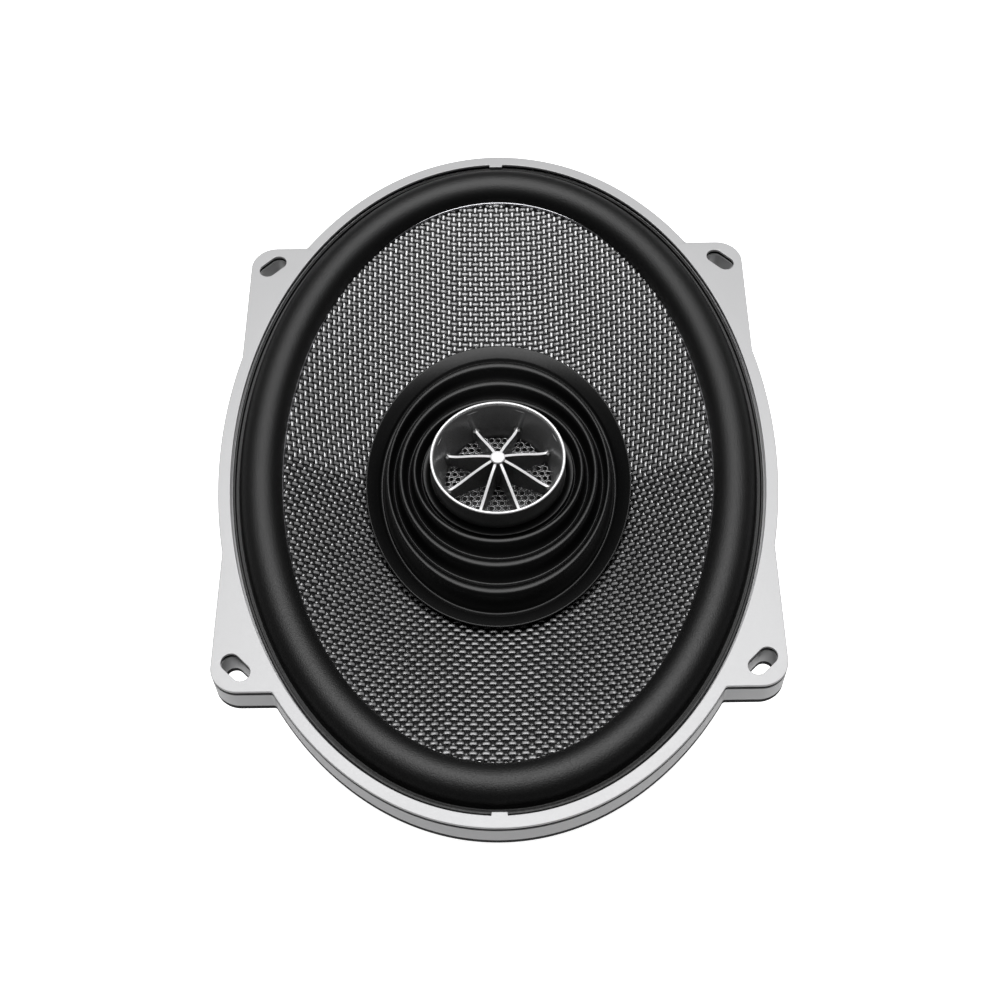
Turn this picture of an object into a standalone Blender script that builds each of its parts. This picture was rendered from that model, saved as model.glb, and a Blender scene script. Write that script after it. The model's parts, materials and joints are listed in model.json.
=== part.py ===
"""Coaxial 6x9 inch car speaker: oval cast basket, woven cone, horn-loaded tweeter on the pole.

Lengths are in millimetres and become metres when a mesh is made. The origin is the centre of the
rear rim that the speaker rests on, +Z points at the listener and +Y runs along the long axis.
A depth is measured rearwards from the front face of the flange.
"""

import math

import bmesh
import bpy

MM = 0.001
FRONT = 82.0  # height of the flange's front face above the rear rim
GAP = 0.3  # clearance left between pieces that touch

AHEAD = 1.0  # which side of its surface a skin is thickened on
BEHIND = -1.0

OVAL_SIDES = 44
BOOT_SIDES = 32
MAGNET_SIDES = 36
TURNED_SIDES = 24
TWEETER_SIDES = 24
SMALL_SIDES = 12

# Flange. An oval is given by its half lengths along Y and along X.
FLANGE_OVAL = (118.7, 82.5)
FLANGE_THICK = 8.7
LAND_OVAL = (115.2, 78.9)  # inner edge of the front land
LEDGE_OVAL = (108.5, 72.2)  # opening inside the ledge that holds the surround
LEDGE_DEPTH = 2.8
LEDGE_BASE = 8.3
EAR_X = 78.8
EAR_Y = 79.3
EAR_CORNER = 7.8
EAR_FILLET = 1.0
SLOT_X = 71.9
SLOT_Y = 71.8
SLOT_WIDTH = 5.2
SLOT_LENGTH = 9.6
TAB_WIDTH = 4.2
TAB_REACH = 1.0

# Bowl of the basket
SPOKES = 6
SPOKE_WIDTH = 14.0
WINDOW_TOP = 18.0
WINDOW_BOTTOM = 35.0
SPIDER_SEAT = 36.8
BASKET_BASE = 46.0
PAD_X = 72.0
PAD_HALF = 14.0
SCREW_CIRCLE = 38.0
SCREW_HOLE = 2.2

# Moving cone
CONE_OVAL = (100.1, 64.1)
CONE_EDGE = 2.5
NECK_RADIUS = 25.8
NECK_DEPTH = 28.0
CONE_THICK = 0.8
ROLL_MIDDLE = 8.75  # the surround's crown, measured in from the land's edge
ROLL_HALF = 6.1
ROLL_FOOT = 2.2
ROLL_RISE = 5.5
ROLL_STEPS = 5
FORMER_RADIUS = 25.0
FORMER_THICK = 0.4

# Motor
PLATE_RADIUS = 50.0
PLATE_HOLE = 27.3
MAGNET_RADIUS = 57.5
COVER_RADIUS = 60.0
POLE_RADIUS = 24.3
POLE_TOP = 44.0
RECESS_DEPTH = 70.0  # floor of the rear recess that holds the post's nut
LEAD_GROOVE_HALF = 2.6
LEAD_RADIUS = 0.75

# Tweeter
HORN_RADIUS = 20.2
RIM_DEPTH = 5.3
COLLAR_DEPTH = 13.0
HOUSING_RADIUS = 22.3
HOUSING_BASE = 40.0
THROAT_RADIUS = 16.2
THROAT_DEPTH = 17.3
VANES = 8
VANE_THICK = 0.8
VANE_TURN = math.radians(24.0)
HUB_RADIUS = 2.25

# Terminals, on a flat pad of the spoke at +X
BOARD_X = 72.3
BOARD_THICK = 1.7
BOARD_HALF = 15.0
BOARD_TOP = 20.0
BOARD_SCREW_DEPTH = 32.0
RIVET_DEPTH = 23.0
TAB_Y = 10.0
CAPACITOR_X = 66.0
CAPACITOR_DEPTH = 47.0

# Colour, roughness and metallic value of each finish
FINISHES = {
    "silver_paint": ((0.62, 0.62, 0.63), 0.38, 0.7),
    "woven_glass": ((0.16, 0.16, 0.17), 0.42, 0.2),
    "black_rubber": ((0.02, 0.02, 0.021), 0.55, 0.0),
    "black_plastic": ((0.025, 0.025, 0.026), 0.4, 0.0),
    "polished_silver": ((0.85, 0.85, 0.85), 0.15, 1.0),
    "zinc_steel": ((0.5, 0.5, 0.52), 0.35, 1.0),
    "ferrite": ((0.08, 0.08, 0.085), 0.6, 0.3),
    "copper": ((0.72, 0.36, 0.2), 0.3, 1.0),
    "brass": ((0.75, 0.58, 0.25), 0.3, 1.0),
    "aramid": ((0.62, 0.5, 0.2), 0.7, 0.0),
    "cloth_tan": ((0.45, 0.3, 0.14), 0.85, 0.0),
    "foam": ((0.03, 0.03, 0.03), 0.95, 0.0),
    "mylar": ((0.35, 0.28, 0.2), 0.35, 0.0),
    "blue_sleeve": ((0.02, 0.06, 0.25), 0.35, 0.0),
    "red_sleeve": ((0.4, 0.02, 0.02), 0.45, 0.0),
}


def clear_scene():
    for old in list(bpy.data.objects):
        bpy.data.objects.remove(old, do_unlink=True)


def new_collection(name):
    collection = bpy.data.collections.new(name)
    bpy.context.scene.collection.children.link(collection)
    return collection


def height(depth):
    """Metres above the rear rim for a depth in millimetres."""
    return (FRONT - depth) * MM


def add(name, data):
    """A new object in the speaker's collection."""
    obj = bpy.data.objects.new(name, data)
    PARTS.objects.link(obj)
    return obj


def as_helper(obj):
    """Moves an object to the cutters, out of the model."""
    PARTS.objects.unlink(obj)
    CUTTERS.objects.link(obj)
    obj.hide_render = True
    obj.display_type = "WIRE"
    return obj


def finish(obj, kind):
    """Gives an object its own material and shades its round faces smooth."""
    colour, roughness, metallic = FINISHES[kind]
    material = bpy.data.materials.new(obj.name)
    material.use_nodes = True
    shader = material.node_tree.nodes["Principled BSDF"]
    shader.inputs["Base Color"].default_value = (*colour, 1.0)
    shader.inputs["Roughness"].default_value = roughness
    shader.inputs["Metallic"].default_value = metallic
    obj.data.materials.append(material)
    if obj.type == "MESH":
        obj.data.shade_smooth()
        obj.data.set_sharp_from_angle(angle=math.radians(35))
    return obj


def weld(mesh):
    work = bmesh.new()
    work.from_mesh(mesh)
    bmesh.ops.remove_doubles(work, verts=work.verts, dist=1e-6)
    work.to_mesh(mesh)
    work.free()


def as_mesh(curve_object):
    """Swaps a curve object for the welded mesh that it evaluates to."""
    bpy.context.view_layer.update()
    graph = bpy.context.evaluated_depsgraph_get()
    mesh = bpy.data.meshes.new_from_object(curve_object.evaluated_get(graph))
    weld(mesh)
    name, place = curve_object.name, curve_object.matrix_world.copy()
    bpy.data.objects.remove(curve_object, do_unlink=True)
    mesh.name = name
    solid = add(name, mesh)
    solid.matrix_world = place
    return solid


def poly_spline(curve, points, cyclic):
    """Adds straight runs through points of two or three coordinates, in millimetres."""
    spline = curve.splines.new("POLY")
    spline.points.add(len(points) - 1)
    for knot, point in zip(spline.points, points):
        x, y, z = (*point, 0.0)[:3]
        knot.co = (x * MM, y * MM, z * MM, 1.0)
    spline.use_cyclic_u = cyclic


def prism(name, outlines, top, bottom):
    """Flat closed outlines extruded between two depths."""
    curve = bpy.data.curves.new(name, "CURVE")
    curve.dimensions = "2D"
    curve.fill_mode = "BOTH"
    curve.extrude = (bottom - top) / 2 * MM
    for outline in outlines:
        poly_spline(curve, outline, cyclic=True)
    obj = add(name, curve)
    obj.location.z = height((top + bottom) / 2)
    return as_mesh(obj)


def turned(name, profile, sides=TURNED_SIDES):
    """A solid of revolution. Its (radius, depth) profile runs rearwards down the outer side."""
    mesh = bpy.data.meshes.new(name)
    points = [(radius * MM, 0.0, height(depth)) for radius, depth in profile]
    edges = [(i, i + 1) for i in range(len(points) - 1)]
    if profile[0][0] > 0.0:
        edges.append((len(points) - 1, 0))
    mesh.from_pydata(points, edges, [])
    obj = add(name, mesh)
    screw = obj.modifiers.new("turn", "SCREW")
    screw.axis = "Z"
    screw.angle = 2 * math.pi
    screw.steps = sides
    screw.render_steps = sides
    screw.use_merge_vertices = True
    screw.merge_threshold = 1e-5
    return obj


def ring(name, inner, outer, top, bottom, sides=TURNED_SIDES):
    return turned(name, [(outer, top), (outer, bottom), (inner, bottom), (inner, top)], sides)


def disc(name, radius, top, bottom, sides=TURNED_SIDES):
    return turned(name, [(0.0, top), (radius, top), (radius, bottom), (0.0, bottom)], sides)


def block(name, low, high):
    """A box from one corner (x, y, depth) to the opposite one."""
    outline = [(low[0], low[1]), (high[0], low[1]), (high[0], high[1]), (low[0], high[1])]
    return prism(name, [outline], low[2], high[2])


def tube(name, points, radius):
    """A round wire through points of (x, y, depth)."""
    curve = bpy.data.curves.new(name, "CURVE")
    curve.dimensions = "3D"
    curve.bevel_depth = radius * MM
    curve.bevel_resolution = 1
    curve.use_fill_caps = True
    poly_spline(curve, [(x, y, FRONT - depth) for x, y, depth in points], cyclic=False)
    return add(name, curve)


def oval(size, inset=0.0, sides=OVAL_SIDES):
    """Points round an oval, moved inwards along its normals by inset."""
    half_y, half_x = size
    points = []
    for i in range(sides):
        turn = 2 * math.pi * i / sides
        x, y = half_x * math.cos(turn), half_y * math.sin(turn)
        normal_x, normal_y = x / half_x**2, y / half_y**2
        shift = inset / math.hypot(normal_x, normal_y)
        points.append((x - normal_x * shift, y - normal_y * shift))
    return points


def loft_faces(rings, closed):
    """Quads between neighbouring rings of equal length, and from the last to the first if closed."""
    sides = len(rings[0])
    spans = len(rings) if closed else len(rings) - 1
    faces = []
    for level in range(spans):
        here, there = level * sides, (level + 1) % len(rings) * sides
        for i in range(sides):
            after = (i + 1) % sides
            faces.append((here + i, there + i, there + after, here + after))
    return faces


def loft(name, sections, closed, sides=OVAL_SIDES):
    """A skin over ovals given as (half_y, half_x, depth), which may turn from oval to round."""
    rings = []
    for half_y, half_x, depth in sections:
        rings.append([(x * MM, y * MM, height(depth)) for x, y in oval((half_y, half_x), sides=sides)])
    mesh = bpy.data.meshes.new(name)
    mesh.from_pydata([point for loop in rings for point in loop], [], loft_faces(rings, closed))
    return add(name, mesh)


def thicken(obj, thickness, offset):
    solidify = obj.modifiers.new("thickness", "SOLIDIFY")
    solidify.thickness = thickness * MM
    solidify.offset = offset
    solidify.use_even_offset = True
    return obj


def swept(name, size, profile):
    """A (inset, depth) profile carried round an oval, the same distance inside it all the way."""
    section = bpy.data.curves.new(name + "_section", "CURVE")
    section.dimensions = "2D"
    poly_spline(section, [(inset, FRONT - depth) for inset, depth in profile], cyclic=True)
    guide = as_helper(add(name + "_section", section))
    path = bpy.data.curves.new(name, "CURVE")
    path.dimensions = "2D"
    path.fill_mode = "NONE"
    path.bevel_mode = "OBJECT"
    path.bevel_object = guide
    poly_spline(path, oval(size), cyclic=True)
    return as_mesh(add(name, path))


def combine(target, operand, operation):
    """Cuts the operand out of a mesh object, or joins it to that."""
    boolean = target.modifiers.new(operand.name, "BOOLEAN")
    boolean.operation = operation
    boolean.solver = "EXACT"
    boolean.object = as_helper(operand)
    return target


def cut(target, cutter):
    return combine(target, cutter, "DIFFERENCE")


def join(target, extra):
    return combine(target, extra, "UNION")


def arc(centre, radius, start, end, steps):
    """Points along an arc between two angles in degrees."""
    points = []
    for i in range(steps + 1):
        turn = math.radians(start + (end - start) * i / steps)
        points.append((centre[0] + radius * math.cos(turn), centre[1] + radius * math.sin(turn)))
    return points


def circle_at(x, y, radius, sides=SMALL_SIDES):
    return arc((x, y), radius, 0, 360, sides)[:-1]


# ---------------------------------------------------------------- basket


def ear_fillet():
    """Centre of the round between an ear's end edge and the oval, and its angle on the oval."""
    half_y, half_x = FLANGE_OVAL
    low, high = 0.0, math.pi / 2
    for _ in range(40):
        turn = (low + high) / 2
        x, y = half_x * math.cos(turn), half_y * math.sin(turn)
        normal_x, normal_y = x / half_x**2, y / half_y**2
        size = math.hypot(normal_x, normal_y)
        centre = (x + normal_x / size * EAR_FILLET, y + normal_y / size * EAR_FILLET)
        if centre[1] < EAR_Y + EAR_FILLET:
            low = turn
        else:
            high = turn
    return centre, turn, math.degrees(math.atan2(y - centre[1], x - centre[0]))


def flange_quarter():
    """The flange's outline from +X round to +Y: oval, straight ear sides, rounded corner, oval."""
    half_y, half_x = FLANGE_OVAL
    centre, oval_turn, fillet_end = ear_fillet()
    side_turn = math.acos(EAR_X / half_x)
    points = []
    for i in range(5):
        turn = side_turn * i / 4
        points.append((half_x * math.cos(turn), half_y * math.sin(turn)))
    corner = (EAR_X - EAR_CORNER, EAR_Y - EAR_CORNER)
    points += arc(corner, EAR_CORNER, 0, 90, 5)
    points += arc(centre, EAR_FILLET, -90, fillet_end, 3)
    for i in range(1, 9):
        turn = oval_turn + (math.pi / 2 - oval_turn) * i / 8
        points.append((half_x * math.cos(turn), half_y * math.sin(turn)))
    return points


def flange_outline():
    quarter = flange_quarter()
    outline = list(quarter)
    outline += [(-x, y) for x, y in reversed(quarter[:-1])]
    outline += [(-x, -y) for x, y in quarter[1:]]
    outline += [(x, -y) for x, y in reversed(quarter[1:-1])]
    return outline


def land_outline():
    """The land's inner edge, with a small tab that points inwards at each end of the long axis."""
    half, edge = TAB_WIDTH / 2, LAND_OVAL[0]
    tab = [(half, edge), (half, edge - TAB_REACH), (-half, edge - TAB_REACH), (-half, edge)]
    upper = [(x, y) for x, y in oval(LAND_OVAL) if abs(x) > half and y > -1e-6]
    before = [point for point in upper if point[0] > 0]
    after = [point for point in upper if point[0] < 0]
    lower = [(-x, -y) for x, y in before[1:] + tab + after[:-1]]
    return before + tab + after + lower


def slot_outline(side_x, side_y):
    """A slot with round ends that lies square to the line from the centre."""
    reach = (SLOT_LENGTH - SLOT_WIDTH) / 2
    lean = math.degrees(math.atan2(side_y, side_x)) + 90
    along = (math.cos(math.radians(lean)) * reach, math.sin(math.radians(lean)) * reach)
    x, y = SLOT_X * side_x, SLOT_Y * side_y
    far = arc((x + along[0], y + along[1]), SLOT_WIDTH / 2, lean - 90, lean + 90, 5)
    near = arc((x - along[0], y - along[1]), SLOT_WIDTH / 2, lean + 90, lean + 270, 5)
    return far + near


def window_outline(index):
    """The wedge between two neighbouring spokes, with its sides parallel to theirs."""
    step = 2 * math.pi / SPOKES
    half = step / 2
    middle = step * (index + 0.5)
    inner = SPOKE_WIDTH / 2 / math.sin(half)
    reach = 150.0
    points = [(inner * math.cos(middle), inner * math.sin(middle))]
    for side in (-half, half):
        turn = middle + side
        offset = middle + side - math.copysign(math.pi / 2, side)
        x = reach * math.cos(turn) + SPOKE_WIDTH / 2 * math.cos(offset)
        y = reach * math.sin(turn) + SPOKE_WIDTH / 2 * math.sin(offset)
        points.append((x, y))
    return points


def basket_bowl():
    """The ledge for the surround, the sloping wall, the spider's seat and the round base."""
    ledge_y, ledge_x = LEDGE_OVAL
    rim_y, rim_x = LAND_OVAL[0] + 1.7, LAND_OVAL[1] + 1.7
    sections = [
        (rim_y, rim_x, LEDGE_DEPTH),
        (rim_y, rim_x, LEDGE_BASE),
        (ledge_y + 2.7, ledge_x + 2.7, LEDGE_BASE),
        (110.0, 73.7, WINDOW_TOP - 1.0),
        (64.0, 61.0, 38.0),
        (58.5, 58.5, 41.0),
        (58.5, 58.5, BASKET_BASE),
        (30.0, 30.0, BASKET_BASE),
        (30.0, 30.0, 43.0),
        (46.5, 46.5, 43.0),
        (46.5, 46.5, SPIDER_SEAT),
        (56.0, 55.5, SPIDER_SEAT),
        (61.0, 58.0, 35.5),
        (107.0, 70.9, 15.0),
        (ledge_y, ledge_x, LEDGE_BASE),
        (ledge_y, ledge_x, LEDGE_DEPTH),
    ]
    return loft("basket_bowl", sections, closed=True)


def basket():
    body = prism("basket", [flange_outline(), land_outline()], 0.0, FLANGE_THICK)
    join(body, basket_bowl())
    slots = [slot_outline(x, y) for x in (-1, 1) for y in (-1, 1)]
    cut(body, prism("mounting_slots", slots, -1.0, FLANGE_THICK + 1.0))
    windows = [window_outline(i) for i in range(SPOKES)]
    cut(body, prism("windows", windows, WINDOW_TOP, WINDOW_BOTTOM))
    join(body, block("terminal_pad", (61.5, -PAD_HALF, 26.0), (PAD_X, PAD_HALF, 38.0)))
    cut(body, prism("basket_screw_holes", screw_holes(), 40.0, 50.0))
    drill_along_x(body, 1.4, 66.0, PAD_X + 2.0, 0.0, BOARD_SCREW_DEPTH)
    finish(body, "silver_paint")


def screw_places():
    places = []
    for i in range(4):
        turn = math.radians(45 + 90 * i)
        places.append((SCREW_CIRCLE * math.cos(turn), SCREW_CIRCLE * math.sin(turn)))
    return places


def screw_holes():
    return [circle_at(x, y, SCREW_HOLE, 8) for x, y in screw_places()]


def plate_screws():
    for number, (x, y) in enumerate(screw_places(), 1):
        head, tip = 41.2, 52.0
        profile = [(0.0, head), (3.6, head), (3.6, 42.7), (1.85, 42.7), (1.85, tip), (0.0, tip)]
        screw = finish(turned(f"plate_screw_{number}", profile, 12), "zinc_steel")
        screw.location = (x * MM, y * MM, 0.0)


def rear_gasket():
    profile = [(1.2, 9.0), (6.0, 9.0), (6.0, 11.0), (1.2, 11.0)]
    finish(swept("rear_gasket", FLANGE_OVAL, profile), "foam")


# ---------------------------------------------------------------- motor


def top_plate():
    plate = ring("top_plate", PLATE_HOLE, PLATE_RADIUS, BASKET_BASE + GAP, 53.7)
    cut(plate, prism("plate_screw_holes", screw_holes(), 40.0, 52.4))
    finish(plate, "zinc_steel")


def ferrite_magnet():
    edge = 1.2
    profile = [
        (MAGNET_RADIUS - edge, 54.0),
        (MAGNET_RADIUS, 54.0 + edge),
        (MAGNET_RADIUS, 74.0 - edge),
        (MAGNET_RADIUS - edge, 74.0),
        (31.0, 74.0),
        (31.0, 54.0),
    ]
    finish(turned("ferrite_magnet", profile, MAGNET_SIDES), "ferrite")


def lead_groove():
    """The channel across the rear that the tweeter's leads lie in."""
    return block("lead_groove", (0.0, -LEAD_GROOVE_HALF, 78.0), (62.0, LEAD_GROOVE_HALF, 83.0))


def back_plate():
    """The rear plate and the pole in one turned piece, bored for the tweeter's post."""
    profile = [
        (POLE_RADIUS - 1.0, POLE_TOP),
        (POLE_RADIUS, POLE_TOP + 1.0),
        (POLE_RADIUS, 74.3),
        (PLATE_RADIUS, 74.3),
        (PLATE_RADIUS, 80.7),
        (PLATE_RADIUS - 1.0, 81.7),
        (13.0, 81.7),
        (13.0, RECESS_DEPTH),
        (4.4, RECESS_DEPTH),
        (4.4, POLE_TOP),
    ]
    body = turned("back_plate", profile)
    cut(body, lead_groove())
    finish(body, "zinc_steel")


def shorting_ring():
    finish(ring("shorting_ring", POLE_RADIUS + GAP, 29.0, 67.0, 74.0), "copper")


def magnet_cover():
    """A rubber cup round the magnet. Its rear rim is what the speaker rests on."""
    profile = [
        (COVER_RADIUS - 0.8, 53.4),
        (COVER_RADIUS, 54.4),
        (COVER_RADIUS, 80.5),
        (COVER_RADIUS - 1.5, FRONT),
        (PLATE_RADIUS + 0.4, FRONT),
        (PLATE_RADIUS + 0.4, 74.4),
        (MAGNET_RADIUS + GAP, 74.4),
        (MAGNET_RADIUS + GAP, 53.4),
    ]
    cover = turned("magnet_cover", profile, MAGNET_SIDES)
    groove = lead_groove()
    groove.name = "cover_groove"
    cut(cover, groove)
    finish(cover, "black_rubber")


# ---------------------------------------------------------------- moving cone


def cone_depth(share):
    """Depth of the cone's front face, from 0 at the neck to 1 at its outer edge."""
    return NECK_DEPTH + (CONE_EDGE - NECK_DEPTH) * share


def cone_section(share):
    half_y = NECK_RADIUS + (CONE_OVAL[0] - NECK_RADIUS) * share
    half_x = NECK_RADIUS + (CONE_OVAL[1] - NECK_RADIUS) * share
    return half_y, half_x, cone_depth(share)


def cone():
    skin = loft("cone", [cone_section(i / 2) for i in range(3)], closed=False)
    finish(thicken(skin, CONE_THICK, BEHIND), "woven_glass")


def coil_former():
    outer = FORMER_RADIUS + FORMER_THICK
    finish(ring("coil_former", FORMER_RADIUS, outer, 26.5, 58.0), "aramid")


def voice_coil():
    inner = FORMER_RADIUS + FORMER_THICK + GAP
    finish(ring("voice_coil", inner, inner + 0.8, 43.0, 57.0), "copper")


def surround():
    """The rubber half roll, with a moulded lip outside and a glued foot on the cone's edge."""
    wall = 0.9
    crown = half_roll(ROLL_MIDDLE, ROLL_HALF, ROLL_FOOT, ROLL_RISE)
    under = half_roll(ROLL_MIDDLE, ROLL_HALF - wall, ROLL_FOOT + 0.2, ROLL_RISE - wall)
    edge = TAB_REACH + GAP
    top = [(edge, 1.2), (edge + 0.6, 1.2), *crown, (18.0, 1.2)]
    bottom = [(18.0, 1.9), *reversed(under), (edge, 2.4)]
    finish(swept("surround", LAND_OVAL, top + bottom), "black_rubber")


def half_roll(middle, half, foot, rise):
    """Points over a half roll, from its outer foot across the crown to its inner foot."""
    turns = [math.pi * i / ROLL_STEPS for i in range(ROLL_STEPS + 1)]
    return [(middle - half * math.cos(t), foot - rise * math.sin(t)) for t in turns]


def spider():
    """The corrugated cloth ring that centres the coil."""
    waves, inner, outer = 3, 25.8, 45.5
    top = []
    for i in range(waves * 2 + 1):
        radius = inner + 1.5 + (outer - inner - 1.5) * i / (waves * 2)
        swing = 1.2 if i % 2 else -1.2
        top.append((radius, 36.0 + (swing if 0 < i < waves * 2 else 0.0)))
    top = [(inner, 36.0), *top, (54.5, 36.0)]
    bottom = [(radius, depth + 0.5) for radius, depth in reversed(top)]
    finish(turned("spider", top + bottom), "cloth_tan")


def boot_sections():
    """Crests and valleys of the bellows, round at the horn and oval on the cone."""
    outer_y, outer_x = 50.5, 39.75
    return [
        (20.9, 20.9, COLLAR_DEPTH + 0.6),
        (22.6, 22.6, COLLAR_DEPTH + 0.6),
        (23.4, 23.3, 14.8),
        (25.5, 25.4, 11.8),
        (29.3, 27.3, 16.3),
        (33.1, 29.6, 12.8),
        (37.2, 31.9, 17.6),
        (41.3, 33.6, 14.1),
        (46.4, 36.7, 19.6),
        (outer_y, outer_x, 17.9),
    ]


def dust_boot():
    skin = loft("dust_boot", boot_sections(), closed=False, sides=BOOT_SIDES)
    finish(thicken(skin, 0.6, AHEAD), "black_rubber")


# ---------------------------------------------------------------- tweeter


def horn():
    """The flared mouth, with a spigot that sits inside the tweeter's housing."""
    profile = [
        (HORN_RADIUS - 0.5, RIM_DEPTH + 0.6),
        (HORN_RADIUS, RIM_DEPTH + 1.0),
        (HORN_RADIUS + 0.2, COLLAR_DEPTH - 0.3),
        (19.9, COLLAR_DEPTH),
        (19.9, 18.5),
        (THROAT_RADIUS, 18.5),
        (THROAT_RADIUS, 16.8),
        (16.9, 14.5),
        (17.9, 10.5),
        (19.2, RIM_DEPTH + 0.6),
    ]
    finish(turned("horn", profile), "black_plastic")


def horn_rim():
    profile = [
        (20.1, RIM_DEPTH - 0.4),
        (20.4, RIM_DEPTH - 0.1),
        (20.4, RIM_DEPTH + 0.3),
        (19.3, RIM_DEPTH + 0.3),
        (19.3, RIM_DEPTH - 0.1),
        (19.6, RIM_DEPTH - 0.4),
    ]
    finish(turned("horn_rim", profile), "polished_silver")


def vane_outline():
    """Side view of two opposite vanes: high at the hub, low near the wall, and up the wall a bit."""
    half = [(HUB_RADIUS, 6.3), (15.2, 13.6), (16.9, 11.2), (16.2, 13.7), (15.8, 16.9)]
    left = [(-x, depth) for x, depth in reversed(half)]
    return [(x, -depth) for x, depth in half + left]


def horn_vanes():
    """Eight thin plates round a hub, moulded as one piece."""
    body = disc("horn_vanes", HUB_RADIUS, 6.2, 17.0, SMALL_SIDES)
    pairs = VANES // 2
    for i in range(pairs):
        plate = prism(f"vane_pair_{i + 1}", [vane_outline()], -VANE_THICK / 2, VANE_THICK / 2)
        plate.location = (0.0, 0.0, FRONT * MM)
        plate.rotation_euler = (math.pi / 2, 0.0, VANE_TURN + math.pi * i / pairs)
        join(body, plate)
    finish(body, "black_plastic")


def hub_cap():
    profile = [(0.0, 5.0), (1.5, 5.1), (HUB_RADIUS, 5.5), (HUB_RADIUS, 5.9), (0.0, 5.9)]
    finish(turned("hub_cap", profile, SMALL_SIDES), "polished_silver")


def throat_mesh():
    finish(disc("throat_mesh", THROAT_RADIUS - GAP, THROAT_DEPTH, THROAT_DEPTH + 0.5), "black_plastic")


def tweeter_housing():
    """The cup behind the horn. The boot's collar lies on its front shoulder."""
    profile = [
        (HOUSING_RADIUS, COLLAR_DEPTH + 0.9),
        (HOUSING_RADIUS, HOUSING_BASE - 1.0),
        (HOUSING_RADIUS - 1.0, HOUSING_BASE),
        (4.4, HOUSING_BASE),
        (4.4, HOUSING_BASE - 3.0),
        (20.2, HOUSING_BASE - 3.0),
        (20.2, COLLAR_DEPTH + 0.9),
    ]
    finish(turned("tweeter_housing", profile), "black_plastic")


def tweeter_motor():
    """Steel cup, neodymium disc and pole plate behind the dome."""
    cup = [(0.0, 33.8), (15.2, 33.8), (15.2, 23.0), (19.6, 23.0), (19.6, 36.7), (0.0, 36.7)]
    finish(turned("tweeter_cup", cup, TWEETER_SIDES), "zinc_steel")
    finish(disc("tweeter_magnet", 12.5, 28.5, 33.5, TWEETER_SIDES), "zinc_steel")
    finish(disc("tweeter_pole_plate", 13.0, 25.4, 28.2, TWEETER_SIDES), "zinc_steel")


def dome(radius, apex, edge, rows):
    """A shallow dome's profile from its top to its rim."""
    turns = [math.pi / 2 * i / rows for i in range(rows + 1)]
    return [(radius * math.sin(t), edge - (edge - apex) * math.cos(t)) for t in turns]


def tweeter_diaphragm():
    outside = dome(14.2, 18.9, 22.3, 4)
    inside = dome(13.7, 19.3, 22.7, 4)
    finish(turned("tweeter_diaphragm", outside + inside[::-1], TWEETER_SIDES), "mylar")
    finish(ring("tweeter_voice_coil", 13.5, 14.5, 23.0, 29.5, TWEETER_SIDES), "copper")


def tweeter_suspension():
    """The dome's thin half roll, and the ring that clamps its rim to the cup."""
    top = [(14.6, 22.2), (15.1, 21.6), (15.7, 21.6), (16.2, 22.3), (19.4, 22.3)]
    bottom = [(radius, depth + 0.3) for radius, depth in reversed(top)]
    finish(turned("tweeter_suspension", top + bottom, TWEETER_SIDES), "mylar")
    finish(ring("diaphragm_clamp", 16.5, 19.8, 18.9, 21.9, TWEETER_SIDES), "black_plastic")


def tweeter_post():
    """The hollow stud that holds the tweeter through the pole, with its spacer, washer and nut."""
    finish(ring("tweeter_post", 2.1, 4.0, 37.4, 77.5, SMALL_SIDES), "zinc_steel")
    finish(ring("tweeter_spacer", 4.6, 9.0, HOUSING_BASE + GAP, POLE_TOP - GAP, TWEETER_SIDES), "brass")
    finish(ring("post_washer", 4.4, 9.5, RECESS_DEPTH + GAP, RECESS_DEPTH + 1.5, TWEETER_SIDES), "zinc_steel")
    hexagon = circle_at(0.0, 0.0, 7.5, 6)
    bore = circle_at(0.0, 0.0, 4.3)
    nut = prism("post_nut", [hexagon, bore], RECESS_DEPTH + 1.8, RECESS_DEPTH + 6.8)
    finish(nut, "zinc_steel")


# ---------------------------------------------------------------- terminals and leads


def turned_along_x(name, profile, y, depth, sides=SMALL_SIDES):
    """A turned piece on an axis along X. Its (radius, x) profile starts at the highest x."""
    obj = turned(name, [(radius, FRONT - x) for radius, x in profile], sides)
    obj.rotation_euler = (0.0, math.pi / 2, 0.0)
    obj.location = (0.0, y * MM, height(depth))
    return obj


def drill_along_x(target, radius, low, high, y, depth):
    """A round hole along X through a mesh object."""
    profile = [(0.0, high), (radius, high), (radius, low), (0.0, low)]
    return cut(target, turned_along_x(f"{target.name}_hole", profile, y, depth, 10))


def terminal_board():
    low = (BOARD_X, -BOARD_HALF, BOARD_TOP)
    board = block("terminal_board", low, (BOARD_X + BOARD_THICK, BOARD_HALF, BOARD_TOP + 20.0))
    for side in (-1, 1):
        drill_along_x(board, 1.5, BOARD_X - 3.0, BOARD_X + 5.0, side * TAB_Y, RIVET_DEPTH)
    drill_along_x(board, 1.5, BOARD_X - 3.0, BOARD_X + 5.0, 0.0, BOARD_SCREW_DEPTH)
    finish(board, "black_plastic")
    head, seat, tip = BOARD_X + 3.6, BOARD_X + BOARD_THICK + GAP, 67.0
    shank = [(1.1, seat), (1.1, tip), (0.0, tip)]
    profile = [(0.0, head), (2.4, head), (2.8, head - 0.8), (2.8, seat), *shank]
    finish(turned_along_x("board_screw", profile, 0.0, BOARD_SCREW_DEPTH), "zinc_steel")


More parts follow.
